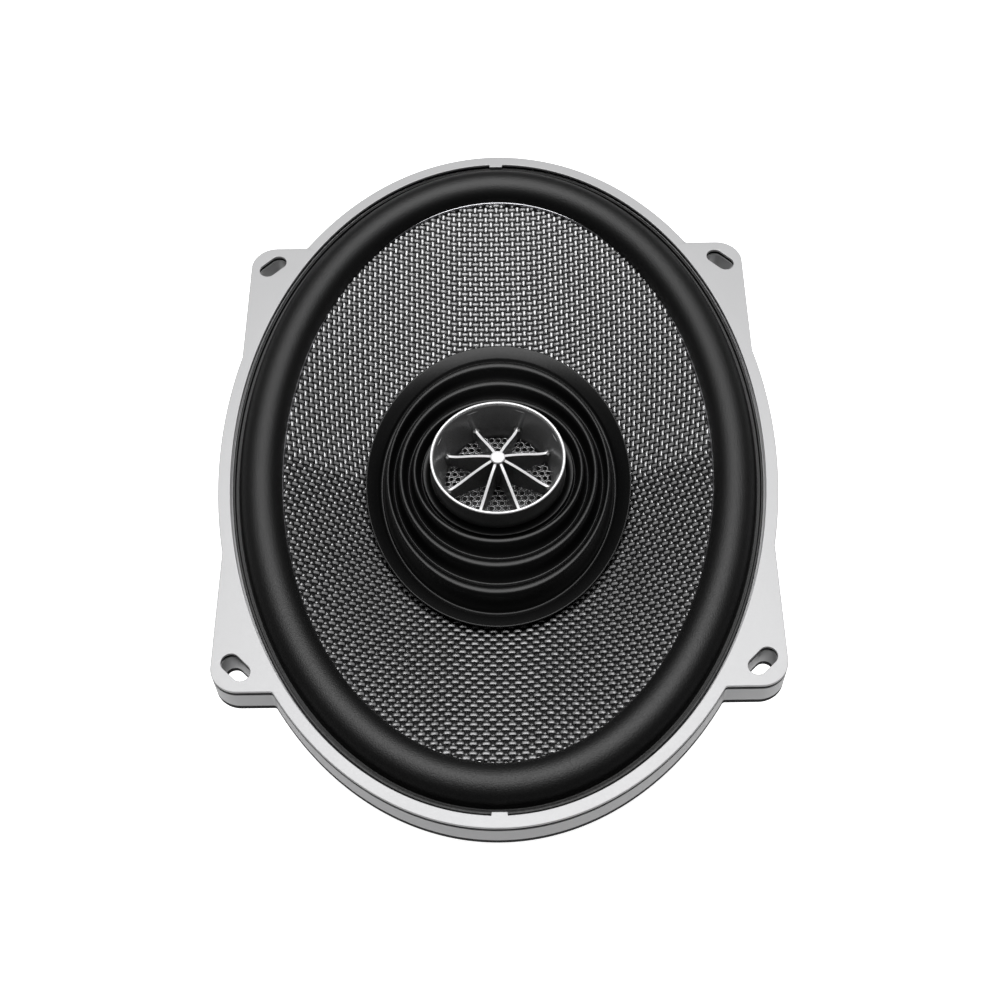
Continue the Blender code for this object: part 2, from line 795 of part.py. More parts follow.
def terminals():
    """Two push-on tabs of different widths, each riveted to the board."""
    inner = BOARD_X + BOARD_THICK + GAP
    outer = inner + 0.8
    for name, side, width in (("positive", 1, 6.3), ("negative", -1, 4.8)):
        y = side * TAB_Y
        tab = block(f"terminal_{name}", (inner, y - width / 2, 21.0), (outer, y + width / 2, 44.0))
        drill_along_x(tab, 1.5, inner - 3.0, outer + 3.0, y, RIVET_DEPTH)
        finish(tab, "brass")
        seat, foot = outer + GAP, BOARD_X - 0.8
        shank = [(1.2, seat), (1.2, foot), (0.0, foot)]
        profile = [(0.0, seat + 0.6), (2.0, seat + 0.6), (2.0, seat), *shank]
        finish(turned_along_x(f"terminal_rivet_{name}", profile, y, RIVET_DEPTH), "brass")


def crossover_capacitor():
    """The tweeter's series capacitor, lying between the basket and the magnet cover."""
    profile = [(0.0, 30.0), (4.9, 30.0), (5.4, 29.4), (5.4, 8.6), (4.9, 8.0), (0.0, 8.0)]
    body = turned("crossover_capacitor", [(radius, FRONT - y) for radius, y in profile], 20)
    body.rotation_euler = (-math.pi / 2, 0.0, 0.0)
    body.location = (CAPACITOR_X * MM, 0.0, height(CAPACITOR_DEPTH))
    finish(body, "blue_sleeve")


def lead_run(side):
    """A tweeter lead down the hollow post, along the rear groove and up the magnet cover."""
    return [
        (0.0, side * 0.95, 38.0),
        (0.0, side * 0.95, 76.0),
        (0.6, side * 0.97, 78.4),
        (2.0, side * 1.05, 79.7),
        (4.5, side * 1.15, 80.2),
        (57.5, side * 1.2, 80.2),
        (60.0, side * 1.2, 79.7),
        (61.3, side * 1.25, 77.8),
        (61.4, side * 1.5, 56.0),
    ]


def leads():
    """Tweeter leads, the capacitor's own lead and the woofer's flexible leads."""
    negative = lead_run(-1) + [
        (62.3, -5.0, 51.5),
        (65.5, -13.0, 46.0),
        (68.0, -17.2, 38.0),
        (68.8, -17.2, 29.0),
        (69.6, -14.6, 24.8),
        (70.1, -11.4, 23.6),
    ]
    finish(tube("tweeter_lead_negative", negative, LEAD_RADIUS), "black_plastic")
    positive = lead_run(1) + [(62.0, 2.2, 52.0), (64.3, 4.4, 48.2), (CAPACITOR_X, 7.6, CAPACITOR_DEPTH)]
    finish(tube("tweeter_lead_positive", positive, LEAD_RADIUS), "red_sleeve")
    link = [
        (CAPACITOR_X, 30.4, CAPACITOR_DEPTH),
        (66.0, 32.6, 45.2),
        (66.6, 31.4, 39.0),
        (67.8, 24.0, 30.0),
        (69.0, 16.6, 25.0),
        (70.1, 11.4, 23.6),
    ]
    finish(tube("capacitor_lead", link, LEAD_RADIUS), "red_sleeve")
    for name, side in (("positive", 1), ("negative", -1)):
        route = [
            (70.1, side * 8.9, 22.0),
            (66.0, side * 8.6, 21.9),
            (60.0, side * 8.5, 23.6),
            (51.0, side * 8.2, 26.2),
            (43.0, side * 7.8, 26.0),
            (38.6, side * 7.4, 24.2),
        ]
        finish(tube(f"tinsel_lead_{name}", route, LEAD_RADIUS), "copper")
        lead_anchor(name, side)


def lead_anchor(name, side):
    """The bead that fixes a flexible lead to the back of the cone."""
    slope = math.atan2(NECK_DEPTH - CONE_EDGE, CONE_OVAL[1] - NECK_RADIUS)
    profile = [(0.0, 0.0), (1.9, 0.0), (1.6, 0.7), (0.9, 1.1), (0.0, 1.2)]
    bead = turned(f"lead_anchor_{name}", [(radius, FRONT + fall) for radius, fall in profile], 12)
    bead.rotation_euler = (0.0, -slope, 0.0)
    bead.location = (36.9 * MM, side * 7.2 * MM, height(22.3))
    finish(bead, "black_rubber")


# ---------------------------------------------------------------- build

clear_scene()
PARTS = new_collection("coaxial_car_speaker")
CUTTERS = new_collection("cutters")

basket()
plate_screws()
rear_gasket()

top_plate()
ferrite_magnet()
back_plate()
shorting_ring()
magnet_cover()

cone()
coil_former()
voice_coil()
surround()
spider()
dust_boot()

horn()
horn_rim()
horn_vanes()
hub_cap()
throat_mesh()
tweeter_housing()
tweeter_motor()
tweeter_diaphragm()
tweeter_suspension()
tweeter_post()

terminal_board()
terminals()
crossover_capacitor()
leads()
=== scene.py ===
import json
import math

import bmesh
import bpy
import numpy as np
from mathutils import Matrix, Vector


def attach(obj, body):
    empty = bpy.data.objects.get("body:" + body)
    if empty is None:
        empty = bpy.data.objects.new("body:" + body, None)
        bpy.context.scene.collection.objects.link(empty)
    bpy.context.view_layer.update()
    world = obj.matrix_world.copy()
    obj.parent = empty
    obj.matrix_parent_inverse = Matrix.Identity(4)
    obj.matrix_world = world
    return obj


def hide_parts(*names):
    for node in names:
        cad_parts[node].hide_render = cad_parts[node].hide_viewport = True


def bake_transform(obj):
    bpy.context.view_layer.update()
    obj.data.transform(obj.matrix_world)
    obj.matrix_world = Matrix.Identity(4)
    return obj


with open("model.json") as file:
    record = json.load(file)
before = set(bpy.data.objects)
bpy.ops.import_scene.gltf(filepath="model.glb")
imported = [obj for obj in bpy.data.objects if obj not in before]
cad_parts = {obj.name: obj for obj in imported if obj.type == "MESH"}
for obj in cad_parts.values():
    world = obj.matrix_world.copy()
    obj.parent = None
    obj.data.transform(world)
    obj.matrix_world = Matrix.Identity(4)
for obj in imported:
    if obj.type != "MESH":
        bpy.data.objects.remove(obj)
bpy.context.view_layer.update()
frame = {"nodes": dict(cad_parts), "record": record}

# Lengths are in millimetres until a mesh is made. A depth runs rearwards from the flange's front face.
MM = 0.001
FRONT = 82.0
TAU = 2 * math.pi

LAND_OVAL = (115.2, 78.9)  # half lengths along Y and along X
FLANGE_OVAL = (118.7, 82.5)
FLANGE_THICK = 8.7
LEDGE_OVAL = (108.5, 72.2)
CONE_OVAL = (100.1, 64.1)
CONE_EDGE = 2.5
NECK_RADIUS = 25.8
NECK_DEPTH = 28.0
THREAD_PITCH = 1.75
OVAL_SIDES = 288
ROUND_SIDES = 144
SMALL_SIDES = 40
BEVEL_STEPS = 3
WELD = 1e-7  # metres


# ---- meshes


def grid_faces(rows, columns, close_rows=False, start=0):
    """Quads over rings of points, numbered ring by ring from start."""
    faces = []
    for row in range(rows if close_rows else rows - 1):
        here, below = start + row * columns, start + (row + 1) % rows * columns
        for column in range(columns):
            after = (column + 1) % columns
            faces.append((here + column, below + column, below + after, here + after))
    return faces


def tube_faces(rings, sides, start=0):
    """Quads along rings of points, numbered from start, with a cap at each end."""
    last = start + (rings - 1) * sides
    caps = [tuple(range(start, start + sides)), tuple(range(last, last + sides))]
    return grid_faces(rings, sides, start=start) + caps


def placed(name, data):
    """A new object in the scene."""
    obj = bpy.data.objects.new(name, data)
    bpy.context.scene.collection.objects.link(obj)
    return obj


def clean(mesh, weld=True):
    """Welds doubled points, turns the normals outwards and shades the mesh smooth."""
    work = bmesh.new()
    work.from_mesh(mesh)
    if weld:
        bmesh.ops.remove_doubles(work, verts=work.verts, dist=WELD)
    bmesh.ops.recalc_face_normals(work, faces=work.faces)
    work.to_mesh(mesh)
    work.free()
    mesh.shade_smooth()


def worked_out(obj):
    """A new mesh of an object with its curve or its modifiers worked out."""
    bpy.context.view_layer.update()
    return bpy.data.meshes.new_from_object(obj.evaluated_get(bpy.context.evaluated_depsgraph_get()))


def new_object(name, points, faces, weld=True):
    """A smooth mesh object from points in millimetres."""
    mesh = bpy.data.meshes.new(name)
    mesh.from_pydata((np.asarray(points, float) * MM).tolist(), [], faces)
    clean(mesh, weld)
    return placed(name, mesh)


def joined(name, parts):
    """One object from several, which are used up."""
    bpy.context.view_layer.update()
    work = bmesh.new()
    for part in parts:
        part.data.transform(part.matrix_world)
        work.from_mesh(part.data)
        bpy.data.objects.remove(part, do_unlink=True)
    mesh = bpy.data.meshes.new(name)
    work.to_mesh(mesh)
    work.free()
    mesh.shade_smooth()
    return placed(name, mesh)


def soften(points, radius, steps=3, closed=True):
    """Rounds the corners of a run of points of any number of coordinates."""
    points = [np.array(p, float) for p in points]
    out = []
    for i, corner in enumerate(points):
        if not closed and i in (0, len(points) - 1):
            out.append(corner)
            continue
        before, after = points[i - 1] - corner, points[(i + 1) % len(points)] - corner
        near, far = np.linalg.norm(before), np.linalg.norm(after)
        if min(near, far) < 1e-6:
            out.append(corner)
            continue
        reach = min(radius, near * 0.45, far * 0.45)
        start, end = corner + before / near * reach, corner + after / far * reach
        for step in range(steps + 1):
            t = step / steps
            out.append(start * (1 - t) ** 2 + corner * 2 * t * (1 - t) + end * t**2)
    return [tuple(point) for point in out]


def smooth_run(points, steps):
    """A Catmull-Rom curve through points, with so many steps between neighbours."""
    points = [np.array(p, float) for p in points]
    padded = [2 * points[0] - points[1], *points, 2 * points[-1] - points[-2]]
    out = []
    for i in range(1, len(padded) - 2):
        a, b, c, d = padded[i - 1 : i + 3]
        for step in range(steps):
            t = step / steps
            out.append(
                0.5 * (2 * b + (c - a) * t + (2 * a - 5 * b + 4 * c - d) * t**2
                       + (3 * b - a - 3 * c + d) * t**3)
            )
    out.append(points[-1])
    return out


def turned(name, profile, sides=ROUND_SIDES, round_by=0.3, closed=True):
    """A solid of revolution from (radius, depth) points, with softened corners."""
    if round_by:
        profile = soften(profile, round_by, closed=closed)
    turns = [TAU * i / sides for i in range(sides)]
    points = [(r * math.cos(t), r * math.sin(t), FRONT - d) for r, d in profile for t in turns]
    return new_object(name, points, grid_faces(len(profile), sides, close_rows=closed))


def on_axis(name, outline, sides=ROUND_SIDES):
    """A solid of revolution whose profile starts and ends on the axis."""
    return turned(name, soften(outline, 0.3, closed=False), sides, 0, closed=False)


def oval(size, inset=0.0):
    """Points round an oval, moved inwards along its normals by inset."""
    half_y, half_x = size
    points = []
    for i in range(OVAL_SIDES):
        turn = TAU * i / OVAL_SIDES
        x, y = half_x * math.cos(turn), half_y * math.sin(turn)
        normal_x, normal_y = x / half_x**2, y / half_y**2
        shift = inset / math.hypot(normal_x, normal_y)
        points.append((x - normal_x * shift, y - normal_y * shift))
    return points


def oval_skin(name, rings):
    """A closed skin over ovals given as (half_y, half_x), inset and depth."""
    points = [(x, y, FRONT - depth) for size, inset, depth in rings for x, y in oval(size, inset)]
    return new_object(name, points, grid_faces(len(rings), OVAL_SIDES, close_rows=True), weld=False)


def swept(name, size, profile):
    """An (inset, depth) profile carried round an oval, at the same distance inside it all the way."""
    return oval_skin(name, [(size, inset, depth) for inset, depth in profile])


def lofted(name, sections):
    """A skin over ovals given as (half_y, half_x, depth)."""
    return oval_skin(name, [((half_y, half_x), 0.0, depth) for half_y, half_x, depth in sections])


def tube_points(route, radii, sides):
    """Rings of points round a route, in frames that don't twist."""
    route = np.array(route, float)
    along = np.gradient(route, axis=0)
    along /= np.linalg.norm(along, axis=1)[:, None]
    side = np.cross(along[0], (0.0, 0.0, 1.0))
    if np.linalg.norm(side) < 1e-3:
        side = np.array((1.0, 0.0, 0.0))
    rings = []
    for centre, tangent, radius in zip(route, along, radii):
        side = side - tangent * side.dot(tangent)
        side /= np.linalg.norm(side)
        other = np.cross(tangent, side)
        for i in range(sides):
            turn = TAU * i / sides
            rings.append(centre + (side * math.cos(turn) + other * math.sin(turn)) * radius)
    return rings


def tube(name, route, radius=0.75, sides=14, steps=8):
    """A round wire through points of (x, y, depth)."""
    route = smooth_run([(x, y, FRONT - d) for x, y, d in route], steps)
    points = tube_points(route, [radius] * len(route), sides)
    return new_object(name, points, tube_faces(len(route), sides), weld=False)


def wound(outline, forwards):
    """The outline run anticlockwise, or clockwise for a hole, so that a bevel turns the right way."""
    area = 0.0
    for (x, y), (after_x, after_y) in zip(outline, [*outline[1:], outline[0]]):
        area += x * after_y - after_x * y
    return outline if (area > 0) == forwards else outline[::-1]


def rectangle(left, right, low, high):
    return [(left, low), (right, low), (right, high), (left, high)]


def extruded(name, outlines, top, bottom, bevel=0.0, inset=0.0):
    """A flat closed outline and its holes, between two depths, with bevelled edges."""
    curve = bpy.data.curves.new(name, "CURVE")
    curve.dimensions = "2D"
    curve.fill_mode = "BOTH"
    curve.extrude = ((bottom - top) / 2 - bevel) * MM
    curve.bevel_depth = bevel * MM
    curve.bevel_resolution = BEVEL_STEPS
    curve.offset = -(bevel + inset) * MM
    for index, outline in enumerate(outlines):
        spline = curve.splines.new("POLY")
        spline.points.add(len(outline) - 1)
        for knot, (x, y) in zip(spline.points, wound(outline, index == 0)):
            knot.co = (x * MM, y * MM, 0.0, 1.0)
        spline.use_cyclic_u = True
    source = placed(name, curve)
    mesh = worked_out(source)
    bpy.data.objects.remove(source, do_unlink=True)
    clean(mesh)
    obj = placed(name, mesh)
    obj.location.z = (FRONT - (top + bottom) / 2) * MM
    return obj


def boolean(target, operand, operation="DIFFERENCE"):
    """Cuts an object out of another or joins it on, and uses it up."""
    modifier = target.modifiers.new(operation, "BOOLEAN")
    modifier.operation = operation
    modifier.solver = "EXACT"
    modifier.object = operand
    mesh = worked_out(target)
    target.modifiers.clear()
    target.data = mesh
    bpy.data.objects.remove(operand, do_unlink=True)


def flat_normals(obj, angle=40):
    """Keeps large flats flat and small rounds round."""
    obj.data.set_sharp_from_angle(angle=math.radians(angle))
    modifier = obj.modifiers.new("normals", "WEIGHTED_NORMAL")
    modifier.weight = 100
    modifier.keep_sharp = True
    return obj


def along_x(obj, y, depth):
    """Lays a turned piece on an axis along X: what was its height above the rear is now its x."""
    obj.data.transform(Matrix.Rotation(math.pi / 2, 4, "Y"))
    obj.data.transform(Matrix.Translation((0.0, y * MM, (FRONT - depth) * MM)))
    return obj


# ---- materials


def remap(tree, source, socket, span=(0.0, 1.0), result=(0.0, 1.0), shape="LINEAR"):
    """Feeds a socket with a value stretched from one span to another."""
    node = tree.nodes.new("ShaderNodeMapRange")
    node.interpolation_type = shape
    for name, value in zip(("From Min", "From Max", "To Min", "To Max"), (*span, *result)):
        node.inputs[name].default_value = value
    tree.links.new(source, node.inputs["Value"])
    tree.links.new(node.outputs["Result"], socket)


def noise(tree, size, detail):
    """Noise in the object's own space, with features of a size in millimetres."""
    place = tree.nodes.new("ShaderNodeTexCoord")
    node = tree.nodes.new("ShaderNodeTexNoise")
    node.inputs["Scale"].default_value = 1 / (size * MM)
    node.inputs["Detail"].default_value = detail
    tree.links.new(place.outputs["Object"], node.inputs["Vector"])
    return node.outputs["Fac"]


def colour_mix(tree, low, socket):
    """A mix from a colour, which feeds a socket. Returns its factor and its other colour."""
    node = tree.nodes.new("ShaderNodeMix")
    node.data_type = "RGBA"
    node.inputs[6].default_value = (*low, 1.0)
    tree.links.new(node.outputs[2], socket)
    return node.inputs[0], node.inputs[7]


def finish(name, colour, roughness, metallic, vary, patch, rough_vary, grain, grain_size, grain_depth,
           detail=3.0, specular=0.5):
    """A procedural surface: patches of colour and roughness, and a fine grain that stands up."""
    material = bpy.data.materials.new(name)
    material.use_nodes = True
    tree = material.node_tree
    shader = tree.nodes["Principled BSDF"]
    shader.inputs["Metallic"].default_value = metallic
    shader.inputs["Specular IOR Level"].default_value = specular
    dull = [channel * (1 - vary) for channel in colour]
    bright = [min(1.0, channel * (1 + vary)) for channel in colour]
    factor, other = colour_mix(tree, dull, shader.inputs["Base Color"])
    other.default_value = (*bright, 1.0)
    tree.links.new(noise(tree, patch, 4.0), factor)
    grains = noise(tree, grain_size, detail)
    remap(tree, grains, shader.inputs["Roughness"], (0.3, 0.7),
          (max(0.02, roughness - rough_vary), roughness + rough_vary))
    bump = tree.nodes.new("ShaderNodeBump")
    bump.inputs["Strength"].default_value = grain
    bump.inputs["Distance"].default_value = grain_depth * MM
    tree.links.new(grains, bump.inputs["Height"])
    tree.links.new(bump.outputs["Normal"], shader.inputs["Normal"])
    return material


# Colour, roughness, metallic, how much the colour varies, the size of its patches, how much the
# roughness varies, then the grain's strength, size, depth and detail, and the specular level.
RECIPES = {
    "silver_paint": ((0.43, 0.43, 0.435), 0.45, 0.25, 0.03, 30.0, 0.06, 0.35, 0.22, 0.03, 2.0),
    "zinc_steel": ((0.52, 0.52, 0.54), 0.34, 1.0, 0.12, 9.0, 0.08, 0.15, 0.5, 0.02),
    "gasket_foam": ((0.008, 0.008, 0.0085), 0.95, 0.0, 0.25, 2.0, 0.03, 0.9, 0.5, 0.12),
    "ferrite": ((0.07, 0.07, 0.075), 0.6, 0.2, 0.2, 5.0, 0.1, 0.5, 0.4, 0.05),
    "copper": ((0.72, 0.36, 0.2), 0.3, 1.0, 0.1, 6.0, 0.08, 0.2, 0.3, 0.02),
    "black_rubber": ((0.002, 0.002, 0.0021), 0.46, 0.0, 0.2, 16.0, 0.05, 0.7, 0.4, 0.12, 4.0, 0.4),
    "boot_rubber": ((0.002, 0.002, 0.0021), 0.36, 0.0, 0.2, 16.0, 0.05, 0.2, 0.25, 0.02, 4.0, 0.3),
    "woven_glass": ((0.28, 0.28, 0.283), 0.31, 1.0, 0.5, 2.2, 0.06, 0.3, 0.12, 0.03),
    "weft_glass": ((0.27, 0.27, 0.273), 0.31, 0.33, 0.5, 2.2, 0.06, 0.3, 0.12, 0.03),
    "resin": ((0.003, 0.003, 0.0032), 0.5, 0.0, 0.2, 3.0, 0.05, 0.3, 0.3, 0.03, 3.0, 0.15),
    "aramid": ((0.55, 0.42, 0.15), 0.6, 0.0, 0.12, 4.0, 0.06, 0.4, 0.2, 0.02),
    "damper_cloth": ((0.42, 0.27, 0.11), 0.85, 0.0, 0.14, 6.0, 0.05, 0.6, 0.3, 0.06),
    "black_plastic": ((0.1, 0.1, 0.101), 0.3, 0.0, 0.15, 10.0, 0.05, 0.2, 0.25, 0.02),
    "polished_silver": ((0.95, 0.95, 0.955), 0.3, 0.2, 0.02, 6.0, 0.05, 0.1, 0.3, 0.01),
    # A pale metal for the honeycomb's hole lips: painted highlight on a black sheet, which still catches the
    # lamps as metal.
    "mesh_highlight_edge": ((0.75, 0.75, 0.76), 0.3, 1.0, 0.2, 3.0, 0.08, 0.2, 0.2, 0.02),
    "mesh_metal": ((0.006, 0.006, 0.0065), 0.55, 0.0, 0.2, 3.0, 0.08, 0.2, 0.2, 0.02),
    "nickel": ((0.6, 0.59, 0.56), 0.25, 1.0, 0.06, 5.0, 0.06, 0.1, 0.3, 0.01),
    "diaphragm_film": ((0.012, 0.012, 0.012), 0.5, 0.0, 0.1, 4.0, 0.05, 0.1, 0.3, 0.01),
    "brass": ((0.75, 0.56, 0.23), 0.28, 1.0, 0.1, 5.0, 0.08, 0.15, 0.3, 0.015),
    "board_plastic": ((0.02, 0.02, 0.022), 0.5, 0.0, 0.2, 6.0, 0.06, 0.4, 0.3, 0.03),
    "blue_sleeve": ((0.015, 0.05, 0.22), 0.3, 0.0, 0.1, 5.0, 0.06, 0.15, 0.5, 0.02),
    "red_sleeve": ((0.36, 0.012, 0.012), 0.4, 0.0, 0.1, 8.0, 0.06, 0.15, 0.4, 0.02),
    "black_sleeve": ((0.015, 0.015, 0.015), 0.4, 0.0, 0.15, 8.0, 0.06, 0.15, 0.4, 0.02),
    "tinsel_braid": ((0.62, 0.38, 0.22), 0.35, 1.0, 0.15, 1.5, 0.08, 0.3, 0.3, 0.03),
}
LOOKS = {name: finish(name, *recipe) for name, recipe in RECIPES.items()}
FIBRE_SHEEN = 0.9
DIP_SHADE_COLOUR = (0.003, 0.003, 0.003)
DIP_SHADE_SPAN = (0.35, 0.75)  # of a yarn's rise, from full painted shade in its dips to its own full colour


def make_yarn(material):
    """Stretches the highlight across the fibres, and paints shade on a yarn where it dips under others."""
    tree = material.node_tree
    shader = tree.nodes["Principled BSDF"]
    tangent = tree.nodes.new("ShaderNodeTangent")
    tangent.direction_type = "UV_MAP"
    tangent.uv_map = "fibres"
    shader.inputs["Anisotropic"].default_value = FIBRE_SHEEN
    tree.links.new(tangent.outputs["Tangent"], shader.inputs["Tangent"])
    colour = shader.inputs["Base Color"].links[0].from_socket
    # Painted shade: the yarn's colour goes nearly black where it sinks below the crossing yarns.
    crown = tree.nodes.new("ShaderNodeAttribute")
    crown.attribute_name = "crown"
    factor, other = colour_mix(tree, DIP_SHADE_COLOUR, shader.inputs["Base Color"])
    tree.links.new(colour, other)
    remap(tree, crown.outputs["Fac"], factor, DIP_SHADE_SPAN, shape="SMOOTHSTEP")


make_yarn(LOOKS["woven_glass"])
make_yarn(LOOKS["weft_glass"])


def paint(obj, look):
    obj.data.materials.clear()
    obj.data.materials.append(LOOKS[look])


def dress(obj, slot, body="frame", replaces=(), look=None):
    """Gives a piece its finish, its body and the CAD nodes it stands for."""
    paint(obj, look or slot)
    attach(obj, body)
    if replaces:
        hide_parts(*replaces)


def follow(obj, slot, replaces):
    """Gives a piece its finish, bakes its placement into its points and hides the CAD nodes it stands for."""
    paint(obj, slot)
    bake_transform(obj)
    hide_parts(*replaces)


def ease(value, low, high):
    """0 before low, 1 after high and a smooth rise between."""
    t = np.clip((np.asarray(value, float) - low) / (high - low), 0.0, 1.0)
    return t * t * (3 - 2 * t)


def radii(obj):
    """Distance of each point from the speaker's axis."""
    return [math.hypot(vertex.co.x, vertex.co.y) / MM for vertex in obj.data.vertices]


# ---- basket

EAR_X = 78.8
EAR_Y = 79.3
EAR_CORNER = 7.8
EAR_FILLET = 1.0
SLOT_X = 71.9
SLOT_Y = 71.8
SLOT_WIDTH = 5.2
SLOT_LENGTH = 9.6
SPOKES = 6
SPOKE_WIDTH = 14.0
FACE_REAR = 0.85
WALL_FRONT = 2.0
SHADOW_SKIRT_THICK = 1.6


def arc(centre, radius, start, end, steps):
    """Points along part of a circle, between two angles in degrees."""
    points = []
    for i in range(steps + 1):
        turn = math.radians(start + (end - start) * i / steps)
        points.append((centre[0] + radius * math.cos(turn), centre[1] + radius * math.sin(turn)))
    return points


def round_hole(centre, radius, steps=28):
    return arc(centre, radius, 0, 360, steps)[:-1]


def ear_fillet():
    """Centre of the round between an ear's end edge and the oval, and its angle on the oval."""
    half_y, half_x = FLANGE_OVAL
    low, high = 0.0, math.pi / 2
    for _ in range(40):
        turn = (low + high) / 2
        x, y = half_x * math.cos(turn), half_y * math.sin(turn)
        normal_x, normal_y = x / half_x**2, y / half_y**2
        size = math.hypot(normal_x, normal_y)
        centre = (x + normal_x / size * EAR_FILLET, y + normal_y / size * EAR_FILLET)
        if centre[1] < EAR_Y + EAR_FILLET:
            low = turn
        else:
            high = turn
    return centre, turn, math.degrees(math.atan2(y - centre[1], x - centre[0]))


def flange_outline():
    """Oval, straight ear sides, rounded corners and small rounds where the ears meet the oval."""
    half_y, half_x = FLANGE_OVAL
    side_steps, oval_steps = 23, 40
    centre, oval_turn, fillet_end = ear_fillet()
    side_turn = math.acos(EAR_X / half_x)
    quarter = []
    for i in range(side_steps + 1):
        turn = side_turn * i / side_steps
        quarter.append((half_x * math.cos(turn), half_y * math.sin(turn)))
    quarter += arc((EAR_X - EAR_CORNER, EAR_Y - EAR_CORNER), EAR_CORNER, 0, 90, 14)
    quarter += arc(centre, EAR_FILLET, -90, fillet_end, 10)
    for i in range(1, oval_steps + 1):
        turn = oval_turn + (math.pi / 2 - oval_turn) * i / oval_steps
        quarter.append((half_x * math.cos(turn), half_y * math.sin(turn)))
    outline = list(quarter)
    outline += [(-x, y) for x, y in reversed(quarter[:-1])]
    outline += [(-x, -y) for x, y in quarter[1:]]
    outline += [(x, -y) for x, y in reversed(quarter[1:-1])]
    return outline


def land_outline():
    """The land's inner edge, with a small tab that points inwards at each end of the long axis."""
    half, edge, reach = 2.1, LAND_OVAL[0], 1.0
    corners = [(half + 0.1, edge), (half, edge - reach), (-half, edge - reach), (-half - 0.1, edge)]
    tab = soften(corners, 0.25, closed=False)
    upper = [(x, y) for x, y in oval(LAND_OVAL) if abs(x) > half + 0.3 and y > -1e-6]
    before = [p for p in upper if p[0] > 0]
    after = [p for p in upper if p[0] < 0]
    lower = [(-x, -y) for x, y in before[1:] + tab + after[:-1]]
    return before + tab + after + lower


def slot_outline(side_x, side_y):
    """A screw slot that lies square to the line from the middle."""
    reach = (SLOT_LENGTH - SLOT_WIDTH) / 2
    lean = math.degrees(math.atan2(side_y, side_x)) + 90
    along = (math.cos(math.radians(lean)) * reach, math.sin(math.radians(lean)) * reach)
    x, y = SLOT_X * side_x, SLOT_Y * side_y
    far = arc((x + along[0], y + along[1]), SLOT_WIDTH / 2, lean - 90, lean + 90, 16)
    near = arc((x - along[0], y - along[1]), SLOT_WIDTH / 2, lean + 90, lean + 270, 16)
    return far + near


def flange_outlines():
    """The flange's edge, the land's inner edge and the four slots."""
    return [flange_outline(), land_outline(), *[slot_outline(x, y) for x in (-1, 1) for y in (-1, 1)]]


def window_outline(index):
    """The wedge between two neighbouring spokes, with its sides parallel to theirs."""
    step = TAU / SPOKES
    half = step / 2
    middle = step * (index + 0.5)
    inner = SPOKE_WIDTH / 2 / math.sin(half)
    reach = 150.0
    points = [(inner * math.cos(middle), inner * math.sin(middle))]
    for side in (-half, half):
        turn = middle + side
        offset = middle + side - math.copysign(math.pi / 2, side)
        x = reach * math.cos(turn) + SPOKE_WIDTH / 2 * math.cos(offset)
        y = reach * math.sin(turn) + SPOKE_WIDTH / 2 * math.sin(offset)
        points.append((x, y))
    return points


def bowl_sections():
    """Ledge for the surround, sloping wall, seat for the spider and round base."""
    ledge_y, ledge_x = LEDGE_OVAL
    rim_y, rim_x = LAND_OVAL[0] + 1.7, LAND_OVAL[1] + 1.7
    outside = [(rim_y, rim_x, 2.8), (rim_y, rim_x, 8.3), (ledge_y + 2.7, ledge_x + 2.7, 8.3),
               (110.0, 73.7, 17.0), (64.0, 61.0, 38.0), (58.5, 58.5, 41.0), (58.5, 58.5, 46.0)]
    base = [(30.0, 30.0, 46.0), (30.0, 30.0, 43.0), (46.5, 46.5, 43.0), (46.5, 46.5, 36.8)]
    within = [(56.0, 55.5, 36.8), (61.0, 58.0, 35.5), (107.0, 70.9, 15.0), (ledge_y, ledge_x, 8.3),
              (ledge_y, ledge_x, 2.8)]
    return soften(outside + base + within, 1.6)


def basket():
    """A thin face and the flange's wall with a black band between them that paints the shade in the groove,
    and the windowed bowl.
    """
    outlines = flange_outlines()
    face = extruded("face", outlines, 0.0, FACE_REAR, 0.2)
    flange = extruded("flange", outlines, WALL_FRONT, FLANGE_THICK, 0.15)
    # A black foam band set into the groove between face and wall: painted shade where the groove would be
    # shadowed.
    painted_shade_band = extruded("flange_painted_shade", outlines, FACE_REAR - 0.1, WALL_FRONT + 0.05, inset=0.3)
    dress(flat_normals(painted_shade_band), "gasket_foam")
    bowl = lofted("basket", bowl_sections())
    for index in range(SPOKES):
        boolean(bowl, extruded("window", [soften(window_outline(index), 5.0, 5)], 18.0, 35.0))
    pad = extruded("pad", [soften(rectangle(61.5, 72.0, -14.0, 14.0), 1.2)], 26.0, 38.0, 0.6)
    boolean(bowl, pad, "UNION")
    piece = joined("basket_casting", [face, flange, bowl])
    dress(flat_normals(piece), "silver_paint", replaces=["basket"])


def rear_gasket():
    """The foam band that seals, and a thin black skirt behind the whole flange that paints the shadow line
    under the flange's wall.
    """
    band = swept("band", FLANGE_OVAL, soften(rectangle(1.2, 6.0, 9.0, 11.0), 0.4))
    # The skirt follows the flange's whole outline, ears too: a black sheet for painted shadow under the
    # wall's lower edge.
    shadow_skirt = extruded("shadow_skirt", flange_outlines(), FLANGE_THICK, FLANGE_THICK + SHADOW_SKIRT_THICK)
    dress(flat_normals(joined("rear_seal", [band, shadow_skirt])), "gasket_foam", replaces=["rear_gasket"])


# ---- cone


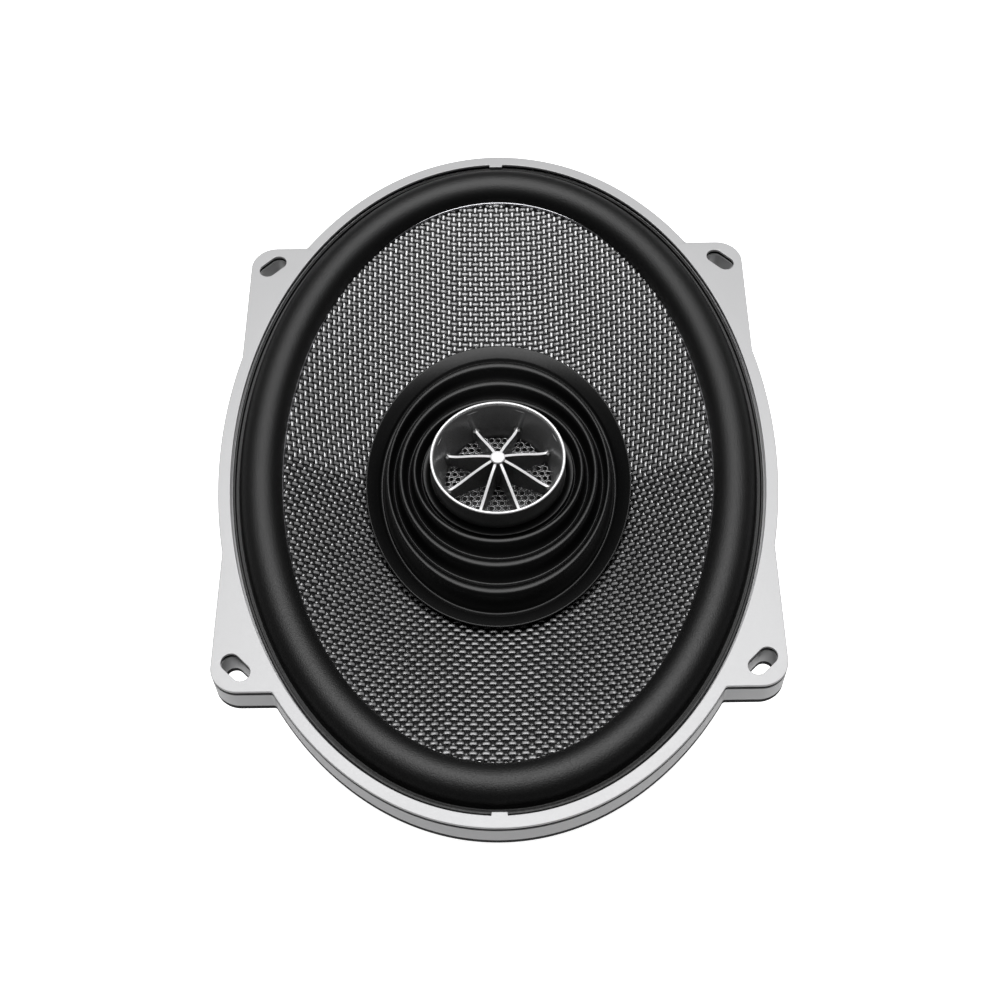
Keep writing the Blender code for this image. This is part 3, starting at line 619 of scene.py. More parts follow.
def cone_depth(x, y):
    """Depth of the ruled surface between the neck and the cone's oval edge."""
    x, y = np.asarray(x, float), np.asarray(y, float)
    low, high = np.full(x.shape, -0.3), np.full(x.shape, 1.3)
    for _ in range(36):
        share = (low + high) / 2
        half_y = NECK_RADIUS + (CONE_OVAL[0] - NECK_RADIUS) * share
        half_x = NECK_RADIUS + (CONE_OVAL[1] - NECK_RADIUS) * share
        outside = (x / half_x) ** 2 + (y / half_y) ** 2 > 1
        low = np.where(outside, share, low)
        high = np.where(outside, high, share)
    return NECK_DEPTH + (CONE_EDGE - NECK_DEPTH) * share


def cone_normal(x, y, step=0.05):
    """Unit normals of the cone's surface, towards the front."""
    slope_x = (cone_depth(x + step, y) - cone_depth(x - step, y)) / (2 * step)
    slope_y = (cone_depth(x, y + step) - cone_depth(x, y - step)) / (2 * step)
    normal = np.stack([slope_x, slope_y, np.ones_like(slope_x)], axis=1)
    return normal / np.linalg.norm(normal, axis=1)[:, None]


THREAD_HALF = 0.57
THREAD_RISE = 0.24
THREAD_SWING = 0.13
THREAD_SIDES = 8
THREAD_STEP = THREAD_PITCH / 4
THREAD_SET_BACK = 0.45  # from the pressed surface to the yarns' middle
THREAD_LANES = 70
CLOTH_COLUMNS = 152
CLOTH_ROWS = 234
FILM_FRONT = 0.44
FILM_REAR = 0.6


def cloth_grid():
    """How far each plan point lies from the middle along the cloth, in each of its directions."""
    columns = np.arange(-CLOTH_COLUMNS, CLOTH_COLUMNS + 1) * THREAD_STEP
    rows = np.arange(-CLOTH_ROWS, CLOTH_ROWS + 1) * THREAD_STEP
    x, y = np.meshgrid(columns, rows)
    depth = cone_depth(x, y)
    run_x = np.hypot(np.diff(depth, axis=1), THREAD_STEP)
    run_y = np.hypot(np.diff(depth, axis=0), THREAD_STEP)
    along_x = np.concatenate([np.zeros((len(rows), 1)), np.cumsum(run_x, axis=1)], axis=1)
    along_y = np.concatenate([np.zeros((1, len(columns))), np.cumsum(run_y, axis=0)], axis=0)
    along_x -= along_x[:, [CLOTH_COLUMNS]]
    along_y -= along_y[[CLOTH_ROWS], :]
    return columns, rows, along_x, along_y


def look_up(columns, rows, values, x, y):
    """Values of the cloth grid between its points."""
    across, down = (x - columns[0]) / THREAD_STEP, (y - rows[0]) / THREAD_STEP
    i = np.clip(across.astype(int), 0, len(columns) - 2)
    j = np.clip(down.astype(int), 0, len(rows) - 2)
    s, t = across - i, down - j
    upper = values[j, i] * (1 - s) + values[j, i + 1] * s
    lower = values[j + 1, i] * (1 - s) + values[j + 1, i + 1] * s
    return upper * (1 - t) + lower * t


def inside(x, y):
    """Above 0 on the cloth between the neck and the cone's edge."""
    half_y, half_x = CONE_OVAL[0] - 0.5, CONE_OVAL[1] - 0.5
    outer = 1 - np.sqrt((x / half_x) ** 2 + (y / half_y) ** 2)
    inner = np.hypot(x, y) / (NECK_RADIUS + 1.0) - 1
    return np.minimum(outer * half_x, inner * NECK_RADIUS)


def spans(plan):
    """The runs of a plan line that lie on the cloth, cut off exactly at its edges."""
    margin = inside(plan[:, 0], plan[:, 1])
    on = np.concatenate([[False], margin > 0, [False]]).astype(int)

    def edge(within, beyond):
        share = margin[within] / (margin[within] - margin[beyond])
        return plan[within] + (plan[beyond] - plan[within]) * share

    runs = []
    for start, end in np.flatnonzero(np.diff(on)).reshape(-1, 2):
        run = list(plan[start:end])
        if start > 0:
            run.insert(0, edge(start, start - 1))
        if end < len(plan):
            run.append(edge(end - 1, end))
        if len(run) > 3:
            runs.append(np.array(run))
    return runs


def thread(plan, swing):
    """One yarn of oval section along a plan line, rising and falling through the weave."""
    x, y = plan[:, 0], plan[:, 1]
    normal = cone_normal(x, y)
    middle = np.stack([x, y, FRONT - cone_depth(x, y) - THREAD_SET_BACK], axis=1)
    middle = middle + normal * swing[:, None]
    along = np.gradient(middle, axis=0)
    along /= np.linalg.norm(along, axis=1)[:, None]
    side = np.cross(normal, along)
    side /= np.linalg.norm(side, axis=1)[:, None]
    up = np.cross(along, side)
    rings = []
    for i in range(THREAD_SIDES):
        turn = TAU * i / THREAD_SIDES
        rings.append(middle + side * THREAD_HALF * math.cos(turn) + up * THREAD_RISE * math.sin(turn))
    return np.stack(rings, axis=1).reshape(-1, 3)


def threads(name, lengthwise, grid):
    """All yarns of one direction, an equal distance apart along the pressed cloth."""
    columns, rows, along_x, along_y = grid
    crossed = along_y if lengthwise else along_x
    random = np.random.default_rng(7 if lengthwise else 11)
    points, faces, lanes, crowns, start = [], [], [], [], 0
    for number in range(-THREAD_LANES, THREAD_LANES + 1):
        wander, phase = random.uniform(0.01, 0.05), random.uniform(0, TAU)
        target = number * THREAD_PITCH
        if lengthwise:
            y = rows
            x = np.array([np.interp(target, run, columns, np.nan, np.nan) for run in along_x])
        else:
            x = columns
            y = np.array([np.interp(target, run, rows, np.nan, np.nan) for run in along_y.T])
        plan = np.stack([x, y], axis=1)
        plan[:, 0 if lengthwise else 1] += wander * np.sin((y if lengthwise else x) / 4.0 + phase)
        plan = plan[~np.isnan(plan).any(axis=1)]
        if len(plan) < 4:
            continue
        for run in spans(plan):
            crossing = look_up(columns, rows, crossed, run[:, 0], run[:, 1])
            turn = math.pi * (crossing / THREAD_PITCH + number + (1 if lengthwise else 0))
            points.append(thread(run, THREAD_SWING * np.cos(turn)))
            crowns.append(np.repeat((1 + np.cos(turn)) / 2, THREAD_SIDES))
            faces += tube_faces(len(run), THREAD_SIDES, start)
            lanes.append(np.repeat(np.arange(len(run)) * THREAD_STEP / 10, THREAD_SIDES))
            start += len(run) * THREAD_SIDES
    obj = new_object(name, np.concatenate(points), faces, weld=False)
    lay_fibres(obj, np.concatenate(lanes))
    # The yarn's rise at each point, which the yarn looks use to paint shade where it dips.
    layer = obj.data.attributes.new("crown", "FLOAT", "POINT")
    layer.data.foreach_set("value", np.concatenate(crowns).astype(np.float32))
    dress(obj, "woven_glass", "moving_cone", look="woven_glass" if lengthwise else "weft_glass")


def lay_fibres(obj, lanes):
    """Texture coordinates with U round the yarn and V along it, for the sheen of its fibres."""
    mesh = obj.data
    corners = np.zeros(len(mesh.loops), int)
    first, total = np.zeros(len(mesh.polygons), int), np.zeros(len(mesh.polygons), int)
    mesh.loops.foreach_get("vertex_index", corners)
    mesh.polygons.foreach_get("loop_start", first)
    mesh.polygons.foreach_get("loop_total", total)
    around = (corners % THREAD_SIDES).astype(float)
    reach = np.maximum.reduceat(around, first) - np.minimum.reduceat(around, first)
    over_seam = np.repeat((reach == THREAD_SIDES - 1) & (total == 4), total)
    around[over_seam & (around == 0)] = THREAD_SIDES
    layer = mesh.uv_layers.new(name="fibres")
    values = np.stack([around / THREAD_SIDES, lanes[corners]], axis=1)
    layer.data.foreach_set("uv", values.astype(np.float32).ravel())


def cone():
    """Yarns over a dark resin film, and a pale hem at the outer edge."""
    grid = cloth_grid()
    threads("cone_warp", True, grid)
    threads("cone_weft", False, grid)
    half_y, half_x = CONE_OVAL
    sections = []
    for share in np.linspace(0.0, 1.0, 25):
        sections.append((NECK_RADIUS + (half_y - NECK_RADIUS) * share,
                         NECK_RADIUS + (half_x - NECK_RADIUS) * share,
                         NECK_DEPTH + (CONE_EDGE - NECK_DEPTH) * share))
    front = [(y, x, d + FILM_FRONT) for y, x, d in sections]
    back = [(y, x, d + FILM_REAR) for y, x, d in reversed(sections)]
    dress(lofted("cone_film", front + back), "woven_glass", "moving_cone", ["cone"], look="resin")
    hem = soften([(half_y + 0.15, half_x + 0.15, 2.15), (half_y + 0.15, half_x + 0.15, 3.0),
                  (half_y - 0.45, half_x - 0.45, 3.3), (half_y - 0.3, half_x - 0.3, 2.25)], 0.15)
    dress(lofted("cone_hem", hem), "woven_glass", "moving_cone", look="zinc_steel")


def surround():
    """Clamped lip, rubber half roll and the foot glued behind the cone's edge."""
    middle, half, foot, rise, wall = 8.75, 6.25, 2.3, 5.7, 0.9
    turns = [math.pi * i / 28 for i in range(29)]
    crown = [(middle - half * math.cos(t), foot - rise * math.sin(t) ** 0.92) for t in turns]
    under = [(middle - (half - wall) * math.cos(t), foot + 0.3 - (rise - wall) * math.sin(t)) for t in turns]
    lip = soften([(0.55, 2.4), (0.62, 1.1), (1.3, 1.05), (1.45, 2.0), (2.0, 2.0)], 0.12, 2, closed=False)
    top = [*lip, *crown, (15.05, 3.3), (15.5, 3.9), (18.0, 4.9)]
    bottom = [(18.0, 5.5), (15.3, 4.5), *reversed(under), (2.0, 2.75), (0.55, 2.78)]
    profile = top + bottom
    follow(swept("surround_roll", LAND_OVAL, profile), "black_rubber", ["surround"])


# Crests and valleys of the bellows from the collar to the flange, as (half_y, half_x, depth).
BOOT_FOLDS = [
    (20.55, 20.55, 13.05), (22.7, 22.7, 13.0), (23.35, 23.3, 14.3), (25.5, 25.4, 11.2), (29.3, 27.3, 15.7),
    (33.1, 29.6, 12.2), (37.2, 31.9, 17.0), (41.3, 33.6, 13.5), (45.7, 35.7, 19.7),
]
# The edge glued to the cone, front then rear, as (half_y, half_x, height above the cone).
BOOT_EDGE = [
    (46.9, 36.35, 1.75), (47.1, 36.5, 1.95), (47.35, 36.7, 2.05), (47.6, 36.95, 2.1), (50.9, 40.0, 2.35),
    (51.15, 40.25, 2.33), (51.35, 40.45, 2.2), (51.38, 40.48, 2.0), (50.1, 39.3, -0.1), (46.9, 36.35, -0.1),
]
BOOT_THICK = 0.6
FOLD_STEPS = 14
CREST_WIDTH = 1.35  # above 1 broadens the crests and narrows the valleys


def dust_boot():
    """The corrugated rubber boot between the horn and the cone."""
    corners = [np.array(corner) for corner in BOOT_FOLDS]
    folds = [corners[0], corners[1]]
    for here, there in zip(corners[1:-1], corners[2:]):
        for step in range(1, FOLD_STEPS + 1):
            t = step / FOLD_STEPS
            point = here + (there - here) * t
            flat = t**CREST_WIDTH if here[2] < there[2] else 1 - (1 - t) ** CREST_WIDTH
            point[2] = here[2] + (there[2] - here[2]) * (1 - math.cos(math.pi * flat)) / 2
            folds.append(point)
    under = [(y, x, depth + BOOT_THICK) for y, x, depth in reversed(folds)]
    sections = folds + BOOT_EDGE + under
    obj = lofted("boot_bellows", sections)
    for index, (_, _, height) in enumerate(BOOT_EDGE, len(folds)):
        for vertex in obj.data.vertices[index * OVAL_SIDES:(index + 1) * OVAL_SIDES]:
            x, y = vertex.co.x / MM, vertex.co.y / MM
            vertex.co.z = (FRONT - float(cone_depth(x, y)) + height) * MM
    follow(obj, "boot_rubber", ["dust_boot"])


# ---- tweeter

VANES = 8
VANE_TURN = math.radians(24.0)
VANE_HALF = 0.4
VANE_SPREAD = (15.4, 18.8)  # radii over which a blade widens into the wall
VANE_FOOT_WIDTH = 5.4
WALL_FROM = 16.4
BOWL = [(16.2, 17.0), (16.55, 15.6), (16.95, 13.6), (17.6, 11.0), (18.4, 8.4), (19.5, 5.5)]


def horn():
    """The flared mouth, the bright ring on its lip and the hub's cap."""
    outside = [(19.8, 5.5), (20.25, 6.0), (20.35, 9.0), (20.4, 12.8), (19.9, 13.0), (19.9, 18.5),
               (16.2, 18.5)]
    profile = soften(outside, 0.2) + smooth_run(BOWL, 5)
    dress(turned("horn_mouth", profile, round_by=0), "black_plastic", replaces=["horn"])
    rim = [(20.15, 4.9), (20.35, 5.1), (20.35, 5.6), (19.55, 5.6), (19.55, 5.15), (19.75, 4.9)]
    dress(turned("horn_ring", rim, round_by=0.2), "polished_silver", replaces=["horn_rim"])
    cap = on_axis("hub_button", [(0.0, 5.0), (1.5, 5.05), (2.2, 5.3), (2.25, 5.9), (0.0, 5.9)])
    dress(cap, "polished_silver", replaces=["hub_cap"])


def vane_top():
    """Top edge of a vane from the hub outwards and up the bowl's wall, as (radius, depth)."""
    return smooth_run([(2.0, 6.15), (5.5, 7.7), (9.0, 9.6), (12.5, 11.7), (15.0, 12.9), (16.2, 13.0),
                       (16.9, 12.2), (17.3, 11.0), (17.9, 9.2), (18.8, 6.7)], 4)


def bowl_radius(depth):
    """Radius of the bowl's wall at a depth."""
    radii_up, depths_up = zip(*reversed(BOWL))
    return float(np.interp(depth, depths_up, radii_up))


def swung(radius, across, depth, turn):
    """A point at a radius, and a distance to one side, on a line turned round the axis."""
    return (radius * math.cos(turn) - across * math.sin(turn),
            radius * math.sin(turn) + across * math.cos(turn), FRONT - depth)


def vane(name, turn):
    """One thin moulded blade with a rounded upper edge that runs out up the wall."""
    points = []
    top = vane_top()
    for radius, depth in top:
        half = VANE_HALF + VANE_FOOT_WIDTH * float(ease(radius, *VANE_SPREAD))
        if radius < WALL_FROM:
            ring = [(radius, 17.25, half + 0.08), (radius, depth + 0.3, half),
                    (radius, depth + 0.06, half * 0.8), (radius, depth, half * 0.4)]
        else:
            wall = bowl_radius(depth)
            ring = []
            for offset, share in ((1.0, -0.15), (0.5, 0.22), (0.22, 0.68), (0.08, 0.96)):
                ring.append((wall - (wall - radius) * share, depth, half * offset))
        full = ring + [(r, d, -across) for r, d, across in reversed(ring)]
        points += [swung(r, across, d, turn) for r, d, across in full]
    return new_object(name, points, tube_faces(len(top), 8), weld=False)


def vane_strip(name, turn):
    """The bright flat line along a blade's upper edge, fading out at the wall."""
    points = []
    run = [p for p in vane_top() if p[0] < 16.85]
    for radius, depth in run:
        half = 0.42 - 0.3 * float(ease(radius, 15.2, 16.9))
        side = [(half, -0.02), (half, 0.1), (half * 0.6, 0.16)]
        for across, lift in side + [(-a, b) for a, b in reversed(side)]:
            points.append(swung(radius, across, depth - lift, turn))
    return new_object(name, points, tube_faces(len(run), 6), weld=False)


def vanes():
    """Eight blades on a hub, each with its bright strip."""
    turns = [VANE_TURN + TAU * i / VANES for i in range(VANES)]
    hub = on_axis("hub", [(0.0, 5.8), (2.2, 5.8), (2.25, 6.2), (2.3, 17.2), (0.0, 17.2)], SMALL_SIDES)
    body = joined("vane_spider", [hub, *[vane(f"vane_{i}", t) for i, t in enumerate(turns)]])
    dress(flat_normals(body), "black_plastic", replaces=["horn_vanes"])
    strips = joined("vane_strips", [vane_strip(f"strip_{i}", t) for i, t in enumerate(turns)])
    dress(flat_normals(strips), "polished_silver")


def hexagon(x, y, radius):
    return [(x + radius * math.cos(TAU * (k + 0.5) / 6), y + radius * math.sin(TAU * (k + 0.5) / 6))
            for k in range(6)]


def throat_mesh():
    """Punched honeycomb sheet across the throat, let into its wall, with pale metal rings on the holes' lips
    that paint highlights on the black sheet's edges.
    """
    pitch, hole, top, bottom, limit = 2.05, 0.88, 17.3, 17.75, 16.9
    points, faces, highlight_rims, highlight_rim_faces = [], [], [], []
    for row in range(-9, 10):
        for column in range(-9, 10):
            x = pitch * (column + (row % 2) / 2)
            y = pitch * row * math.sqrt(3) / 2
            if math.hypot(x, y) > limit - pitch * 0.45:
                continue
            faces += grid_faces(5, 6, start=len(points))
            web = pitch / math.sqrt(3)
            for radius, depth in ((web, top), (hole + 0.1, top), (hole, top + 0.1), (hole, bottom),
                                  (web, bottom)):
                points += [(px, py, FRONT - depth) for px, py in hexagon(x, y, radius)]
            # Pale rings round each hole's lip: painted highlight on the sheet's edges.
            highlight_rim_faces += grid_faces(4, 6, close_rows=True, start=len(highlight_rims))
            for radius, depth in ((hole + 0.1, top + 0.01), (hole + 0.05, top - 0.05),
                                  (hole - 0.01, top + 0.02), (hole, top + 0.11)):
                highlight_rims += [(px, py, FRONT - depth) for px, py in hexagon(x, y, radius)]
    dress(flat_normals(new_object("honeycomb", points, faces), 50), "mesh_metal", replaces=["throat_mesh"])
    dress(new_object("honeycomb_highlight_rims", highlight_rims, highlight_rim_faces, weld=False), "mesh_metal", look="mesh_highlight_edge")


def tweeter_body():
    """Housing, dome and the dome's roll, seen only in glimpses."""
    housing = [(22.3, 13.9), (22.3, 39.0), (21.3, 40.0), (4.4, 40.0), (4.4, 37.0), (20.2, 37.0), (20.2, 13.9)]
    dress(flat_normals(turned("tweeter_can", housing)), "black_plastic", replaces=["tweeter_housing"])
    front = [(14.2 * math.sin(t), 22.3 - 3.4 * math.cos(t)) for t in np.linspace(0, math.pi / 2, 17)]
    back = [(13.7 * math.sin(t), 22.7 - 3.4 * math.cos(t)) for t in np.linspace(math.pi / 2, 0, 17)]
    profile = front + [(14.8, 22.35), (14.8, 22.65)] + back
    dome = turned("dome", profile, round_by=0, closed=False)
    dress(dome, "diaphragm_film", "tweeter_dome", ["tweeter_diaphragm"])
    roll = [(14.6, 22.2)]
    roll += [(15.4 - 0.6 * math.cos(t), 22.2 - 0.6 * math.sin(t)) for t in np.linspace(0, math.pi, 9)]
    roll += [(16.2, 22.3), (19.4, 22.3)]
    obj = turned("dome_roll", roll + [(r, d + 0.3) for r, d in reversed(roll)], round_by=0)
    follow(obj, "diaphragm_film", ["tweeter_suspension"])


# ---- motor


def spider():
    """Corrugated cloth, moved by the coil at its inner edge."""
    inner, outer, middle, swell, waves, thick = 27.3, 45.5, 36.0, 1.25, 3, 0.45
    top = [(25.8, middle)]
    for i in range(61):
        t = i / 60
        fade = min(1.0, t * 6, (1 - t) * 6)
        top.append((inner + (outer - inner) * t, middle - swell * math.sin(TAU * waves * t) * fade))
    top += [(46.5, middle), (54.5, middle)]
    obj = turned("spider_cloth", top + [(r, d + thick) for r, d in reversed(top)], round_by=0)
    follow(obj, "damper_cloth", ["spider"])


def pan_screw(name, x, y, top, radius, tall, shank, tip):
    """A pan-head screw with a cross recess, pointing rearwards."""
    outline = [(0.0, top), (radius * 0.7, top + 0.1), (radius, top + tall * 0.55), (radius, top + tall),
               (shank, top + tall), (shank, tip), (0.0, tip)]
    obj = on_axis(name, outline, SMALL_SIDES)
    obj.data.transform(Matrix.Translation((x * MM, y * MM, 0.0)))
    arm = radius * 0.55
    web = arm * 0.27
    for half_x, half_y in ((arm, web), (web, arm)):
        bar = rectangle(x - half_x, x + half_x, y - half_y, y + half_y)
        boolean(obj, extruded("recess", [bar], top - 1.0, top + 0.8))
    obj.data.shade_smooth()
    return flat_normals(obj, 35)


def motor():
    """Plates, magnet and its cover, former and winding, and the screws and nut that hold them."""
    plate = turned("front_plate", [(50.0, 46.3), (50.0, 53.7), (27.3, 53.7), (27.3, 46.3)], round_by=0.5)
    dress(flat_normals(plate), "zinc_steel", replaces=["top_plate"])
    for number in range(1, 5):
        turn = math.radians(45 + 90 * (number - 1))
        x, y = 38.0 * math.cos(turn), 38.0 * math.sin(turn)
        screw = pan_screw(f"screw_{number}", x, y, 41.2, 3.6, 1.5, 1.85, 52.0)
        dress(screw, "zinc_steel", replaces=[f"plate_screw_{number}"])
    rear = [(23.3, 44.0), (24.3, 45.0), (24.3, 74.3), (50.0, 74.3), (50.0, 80.7), (49.0, 81.7), (13.0, 81.7),
            (13.0, 70.0), (4.4, 70.0), (4.4, 44.0)]
    body = turned("rear_plate", rear, round_by=0.35)
    boolean(body, groove("plate_groove"))
    dress(flat_normals(body), "zinc_steel", replaces=["back_plate"])
    cover = [(59.2, 53.4), (60.0, 54.4), (60.0, 57.0), (59.6, 57.3), (59.6, 58.1), (60.0, 58.4), (60.0, 76.0),
             (59.6, 76.3), (59.6, 77.1), (60.0, 77.4), (60.0, 80.5), (58.5, 82.0), (56.9, 82.0), (56.6, 81.7),
             (55.8, 81.7), (55.5, 82.0), (50.4, 82.0), (50.4, 74.4), (57.8, 74.4), (57.8, 53.4)]
    body = turned("rubber_cover", cover)
    boolean(body, groove("cover_groove"))
    dress(flat_normals(body), "black_rubber", replaces=["magnet_cover"])
    magnet = [(56.3, 54.0), (57.5, 55.2), (57.5, 72.8), (56.3, 74.0), (31.0, 74.0), (31.0, 54.0)]
    dress(flat_normals(turned("magnet_ring", magnet)), "ferrite", replaces=["ferrite_magnet"])
    former = [(25.4, 26.5), (25.4, 58.0), (25.0, 58.0), (25.0, 26.5)]
    dress(flat_normals(turned("former", former, round_by=0.1)), "aramid", "moving_cone", ["coil_former"])
    turns = [(26.3 + 0.18 * math.sin(TAU * i / 6), 43.0 + 14.0 * i / 168) for i in range(169)]
    coil = [*turns, (25.7, 57.0), (25.7, 43.0)]
    dress(turned("winding", coil, 96, 0), "copper", "moving_cone", ["voice_coil"])
    bore = round_hole((0.0, 0.0), 4.3, 40)
    nut = extruded("hex_nut", [soften(hexagon(0.0, 0.0, 7.5), 0.5), bore], 71.8, 76.8, 0.35)
    dress(flat_normals(nut, 35), "zinc_steel", replaces=["post_nut"])
    washer = [(9.5, 70.3), (9.5, 71.5), (4.4, 71.5), (4.4, 70.3)]
    dress(flat_normals(turned("washer", washer, 72, 0.25)), "zinc_steel", replaces=["post_washer"])


def groove(name):
    """The channel across the rear that the tweeter's leads lie in."""
    return extruded(name, [rectangle(0.0, 62.0, -2.6, 2.6)], 78.0, 83.0)


# ---- terminals and leads


RIVET_DEPTH = 23.0


def push_on_tab(name, y, half):
    """A flat tab with a hole near its end, drawn as (y, depth) and stood up to be thin along X."""
    shape = [(y - half, 21.0), (y + half, 21.0), (y + half, 42.6), (y + half * 0.55, 44.0),
             (y - half * 0.55, 44.0), (y - half, 42.6)]
    outlines = [soften(shape, 0.5), round_hole((y, 39.0), 0.9), round_hole((y, RIVET_DEPTH), 1.5)]
    blade = extruded(name, outlines, 0.0, 0.8, 0.15)
    blade.data.transform(Matrix.Translation((0.0, 0.0, blade.location.z - FRONT * MM)))
    blade.location.z = 0.0
    blade.data.transform(Matrix(((0, 0, 1, 75.1 * MM), (1, 0, 0, 0), (0, -1, 0, FRONT * MM), (0, 0, 0, 1))))
    blade.data.flip_normals()
    return flat_normals(blade)


def terminals():
    """The board with its screw, two tabs and two rivets. A piece laid along X is turned first."""
    board = extruded("connector_board", [soften(rectangle(72.3, 74.0, -15.0, 15.0), 0.3)], 20.0, 40.0, 0.3)
    dress(flat_normals(board), "board_plastic", replaces=["terminal_board"])
    run = [(0.0, 76.0), (1.3, 75.9), (2.0, 75.4), (1.2, 75.35), (1.2, 71.5), (0.0, 71.5)]
    rivet = [(radius, FRONT - x) for radius, x in run]
    for name, y, half in (("positive", 10.0, 3.15), ("negative", -10.0, 2.4)):
        dress(push_on_tab(f"blade_{name}", y, half), "brass", replaces=[f"terminal_{name}"])
        head = along_x(on_axis(f"rivet_{name}", rivet, SMALL_SIDES), y, RIVET_DEPTH)
        dress(flat_normals(head), "brass", replaces=[f"terminal_rivet_{name}"])
    screw = pan_screw("pan_screw", 0.0, 0.0, FRONT - 75.9, 2.8, 1.6, 1.1, FRONT - 67.0)
    dress(along_x(screw, 0.0, 32.0), "zinc_steel", replaces=["board_screw"])


def capacitor():
    """A sleeved axial capacitor, with a waist near each end."""
    profile = [(0.0, 30.0), (4.6, 30.0), (4.9, 29.6), (5.4, 29.2), (5.4, 28.0), (5.05, 27.4), (5.05, 26.9),
               (5.4, 26.3), (5.4, 9.0), (4.9, 8.3), (4.6, 8.0), (0.0, 8.0)]
    obj = on_axis("axial_capacitor", [(r, FRONT - y) for r, y in profile], 56)
    obj.data.transform(Matrix.Rotation(-math.pi / 2, 4, "X"))
    obj.data.transform(Matrix.Translation((66.0 * MM, 0.0, (FRONT - 47.0) * MM)))
    dress(flat_normals(obj), "blue_sleeve", replaces=["crossover_capacitor"])


def lead_run(side):
    """A tweeter lead's route from the tweeter through the post and the rear groove to the basket."""
    run = [(0.0, 0.95, 38.0), (0.0, 0.95, 60.0), (0.0, 0.95, 75.5), (0.6, 0.97, 78.2), (2.2, 1.05, 79.8),
           (5.0, 1.15, 80.2), (30.0, 1.2, 80.2), (57.0, 1.2, 80.2), (60.0, 1.2, 79.6), (61.3, 1.25, 77.6),
           (61.4, 1.4, 66.0), (61.4, 1.5, 56.0)]
    return [(x, side * y, depth) for x, y, depth in run]


def leads():
    """Both tweeter leads, the capacitor's lead and the two tinsel leads."""
    negative = lead_run(-1) + [(62.3, -5.0, 51.5), (65.5, -13.0, 46.0), (68.0, -17.2, 38.0),
                               (68.8, -17.2, 29.0), (69.6, -14.6, 24.8), (70.1, -11.4, 23.6)]
    dress(tube("lead_negative", negative), "black_sleeve", replaces=["tweeter_lead_negative"])
    positive = lead_run(1) + [(62.0, 2.2, 52.0), (64.3, 4.4, 48.2), (66.0, 7.6, 47.0)]
    dress(tube("lead_positive", positive), "red_sleeve", replaces=["tweeter_lead_positive"])
    link = [(66.0, 30.4, 47.0), (66.0, 32.6, 45.2), (66.6, 31.4, 39.0), (67.8, 24.0, 30.0),
            (69.0, 16.6, 25.0), (70.1, 11.4, 23.6)]
    dress(tube("lead_link", link), "red_sleeve", replaces=["capacitor_lead"])
    tinsel("positive", 1)
    tinsel("negative", -1)


def tinsel(name, side):
    """A braided lead: three strands laid round a common route."""
    strands, lay, offset, radius, sides = 3, 3.2, 0.36, 0.37, 8
    route = [(70.1, 8.9, 22.0), (66.0, 8.6, 21.9), (60.0, 8.5, 23.6), (51.0, 8.2, 26.2), (43.0, 7.8, 26.0),
             (38.6, 7.4, 24.2)]
    path = np.array(smooth_run([(x, side * y, FRONT - d) for x, y, d in route], 16))
    along = np.gradient(path, axis=0)
    along /= np.linalg.norm(along, axis=1)[:, None]
    across = np.cross(along, (0.0, 0.0, 1.0))
    across /= np.linalg.norm(across, axis=1)[:, None]
    up = np.cross(across, along)
    travel = np.concatenate([[0.0], np.cumsum(np.linalg.norm(np.diff(path, axis=0), axis=1))])
    points, faces = [], []
    for strand in range(strands):
        turn = travel / lay * TAU + TAU * strand / strands
        centre = path + (across * np.cos(turn)[:, None] + up * np.sin(turn)[:, None]) * offset
        faces += tube_faces(len(centre), sides, len(points))
        points += tube_points(centre, [radius] * len(centre), sides)
    obj = new_object(f"tinsel_{name}", points, faces, weld=False)
    follow(obj, "tinsel_braid", [f"tinsel_lead_{name}"])


def carried_nodes():
    """CAD nodes whose shape is already right get a procedural finish in place of their own."""
    slots = {part["node"]: part["material_slot"] for part in frame["record"]["subparts"]}
    for name, obj in frame["nodes"].items():
        paint(obj, slots[name])


# ---- studio

CAMERA_ANGLES = (1.173, 57.348, -1.791)  # azimuth, elevation and roll, in degrees
CAMERA_TARGET = (0.67, -18.777, FRONT)
CAMERA_DISTANCE = 0.456799  # metres
LENS = 56.597
WHITE = (1.0, 1.0, 1.0, 1.0)
LIGHT_PLACE = (0.0, 0.25, 1.1)  # metres
LIGHT_TARGET = (0.0, 0.0, 0.08)
LIGHT_SIZE = 0.9
LIGHT_POWER = 15.0
FLOOR_HALF = 3.0
FLOOR_DROP = 0.0002  # below the speaker, so that the two never share a plane

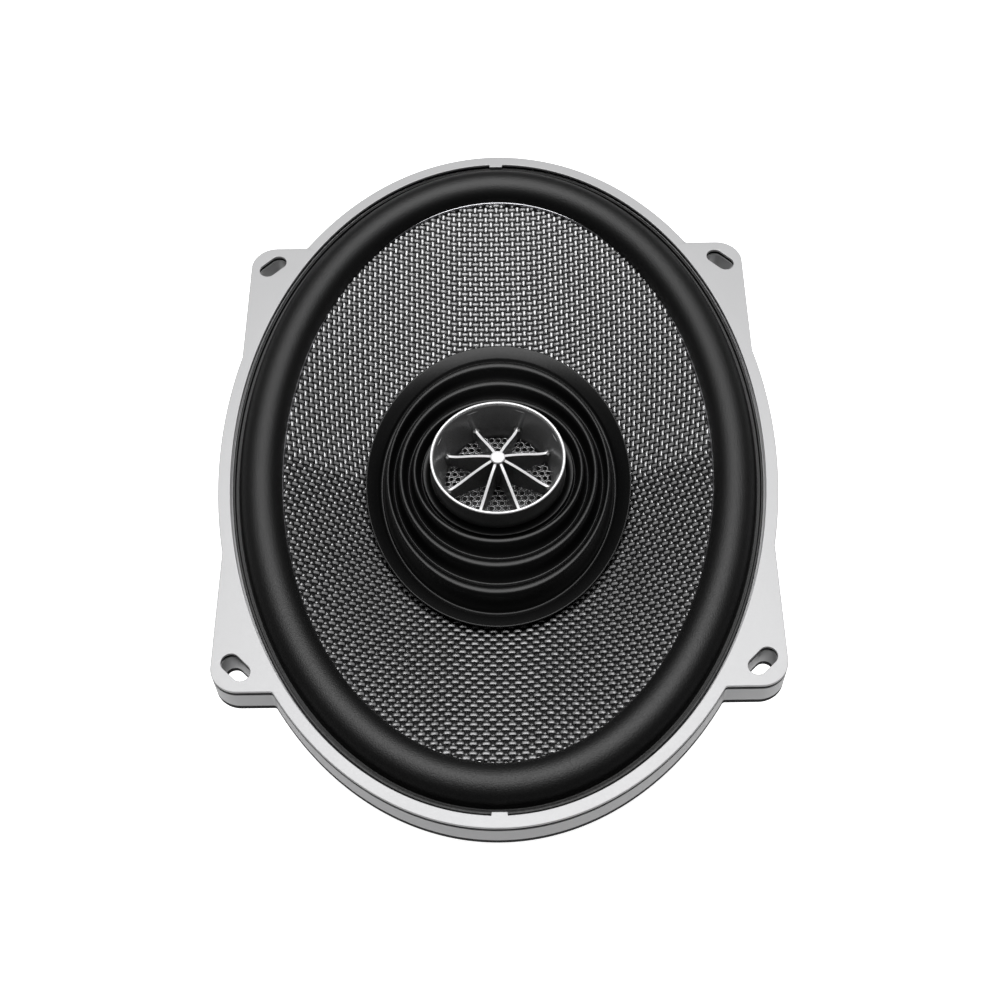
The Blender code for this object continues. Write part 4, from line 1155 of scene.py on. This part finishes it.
def studio():
    """A white world, a pale floor and one large soft light."""
    scene = bpy.context.scene
    scene.view_settings.view_transform = "Standard"
    world = bpy.data.worlds.new("studio")
    scene.world = world
    world.use_nodes = True
    sky = world.node_tree.nodes["Background"]
    sky.inputs["Color"].default_value = WHITE
    brighter_to_see(world.node_tree, sky.inputs["Strength"], 0.05, 1.0)
    work = bmesh.new()
    bmesh.ops.create_grid(work, x_segments=24, y_segments=24, size=FLOOR_HALF)
    mesh = bpy.data.meshes.new("floor")
    work.to_mesh(mesh)
    work.free()
    floor = placed("floor", mesh)
    floor.location.z = -FLOOR_DROP
    pale = finish("pale_floor", (0.93, 0.93, 0.93), 0.8, 0.0, 0.01, 300.0, 0.02, 0.02, 2.0, 0.01)
    shader = pale.node_tree.nodes["Principled BSDF"]
    shader.inputs["Emission Color"].default_value = WHITE
    brighter_to_see(pale.node_tree, shader.inputs["Emission Strength"], 0.3, 0.95)
    mesh.materials.append(pale)
    light = bpy.data.lights.new("overhead", "AREA")
    light.size, light.energy = LIGHT_SIZE, LIGHT_POWER
    lamp = placed("overhead", light)
    lamp.location = LIGHT_PLACE
    lamp.rotation_euler = (Vector(LIGHT_TARGET) - lamp.location).to_track_quat("-Z", "Y").to_euler()


def brighter_to_see(tree, socket, lit, seen):
    """Backdrop brightness: one strength for what it lights and another for what it looks like."""
    path = tree.nodes.new("ShaderNodeLightPath")
    remap(tree, path.outputs["Is Camera Ray"], socket, result=(lit, seen))


def camera():
    """The camera, set from its bearing, height, tilt and distance."""
    azimuth, elevation, roll = (math.radians(angle) for angle in CAMERA_ANGLES)
    back = Vector((math.sin(azimuth) * math.cos(elevation), -math.cos(azimuth) * math.cos(elevation),
                   math.sin(elevation)))
    right = (-back).cross(Vector((0, 0, 1))).normalized()
    up = right.cross(-back)
    x_axis = right * math.cos(roll) + up * math.sin(roll)
    y_axis = -right * math.sin(roll) + up * math.cos(roll)
    data = bpy.data.cameras.new("camera")
    data.lens = LENS
    data.sensor_width = 36.0
    data.clip_start = 0.01
    obj = placed("camera", data)
    turn = Matrix((x_axis, y_axis, back)).transposed().to_4x4()
    obj.matrix_world = Matrix.Translation(Vector(CAMERA_TARGET) * MM + back * CAMERA_DISTANCE) @ turn
    bpy.context.scene.camera = obj


camera()
carried_nodes()
basket()
rear_gasket()
cone()
surround()
dust_boot()
horn()
vanes()
throat_mesh()
tweeter_body()
spider()
motor()
terminals()
capacitor()
leads()
studio()

bpy.context.view_layer.update()
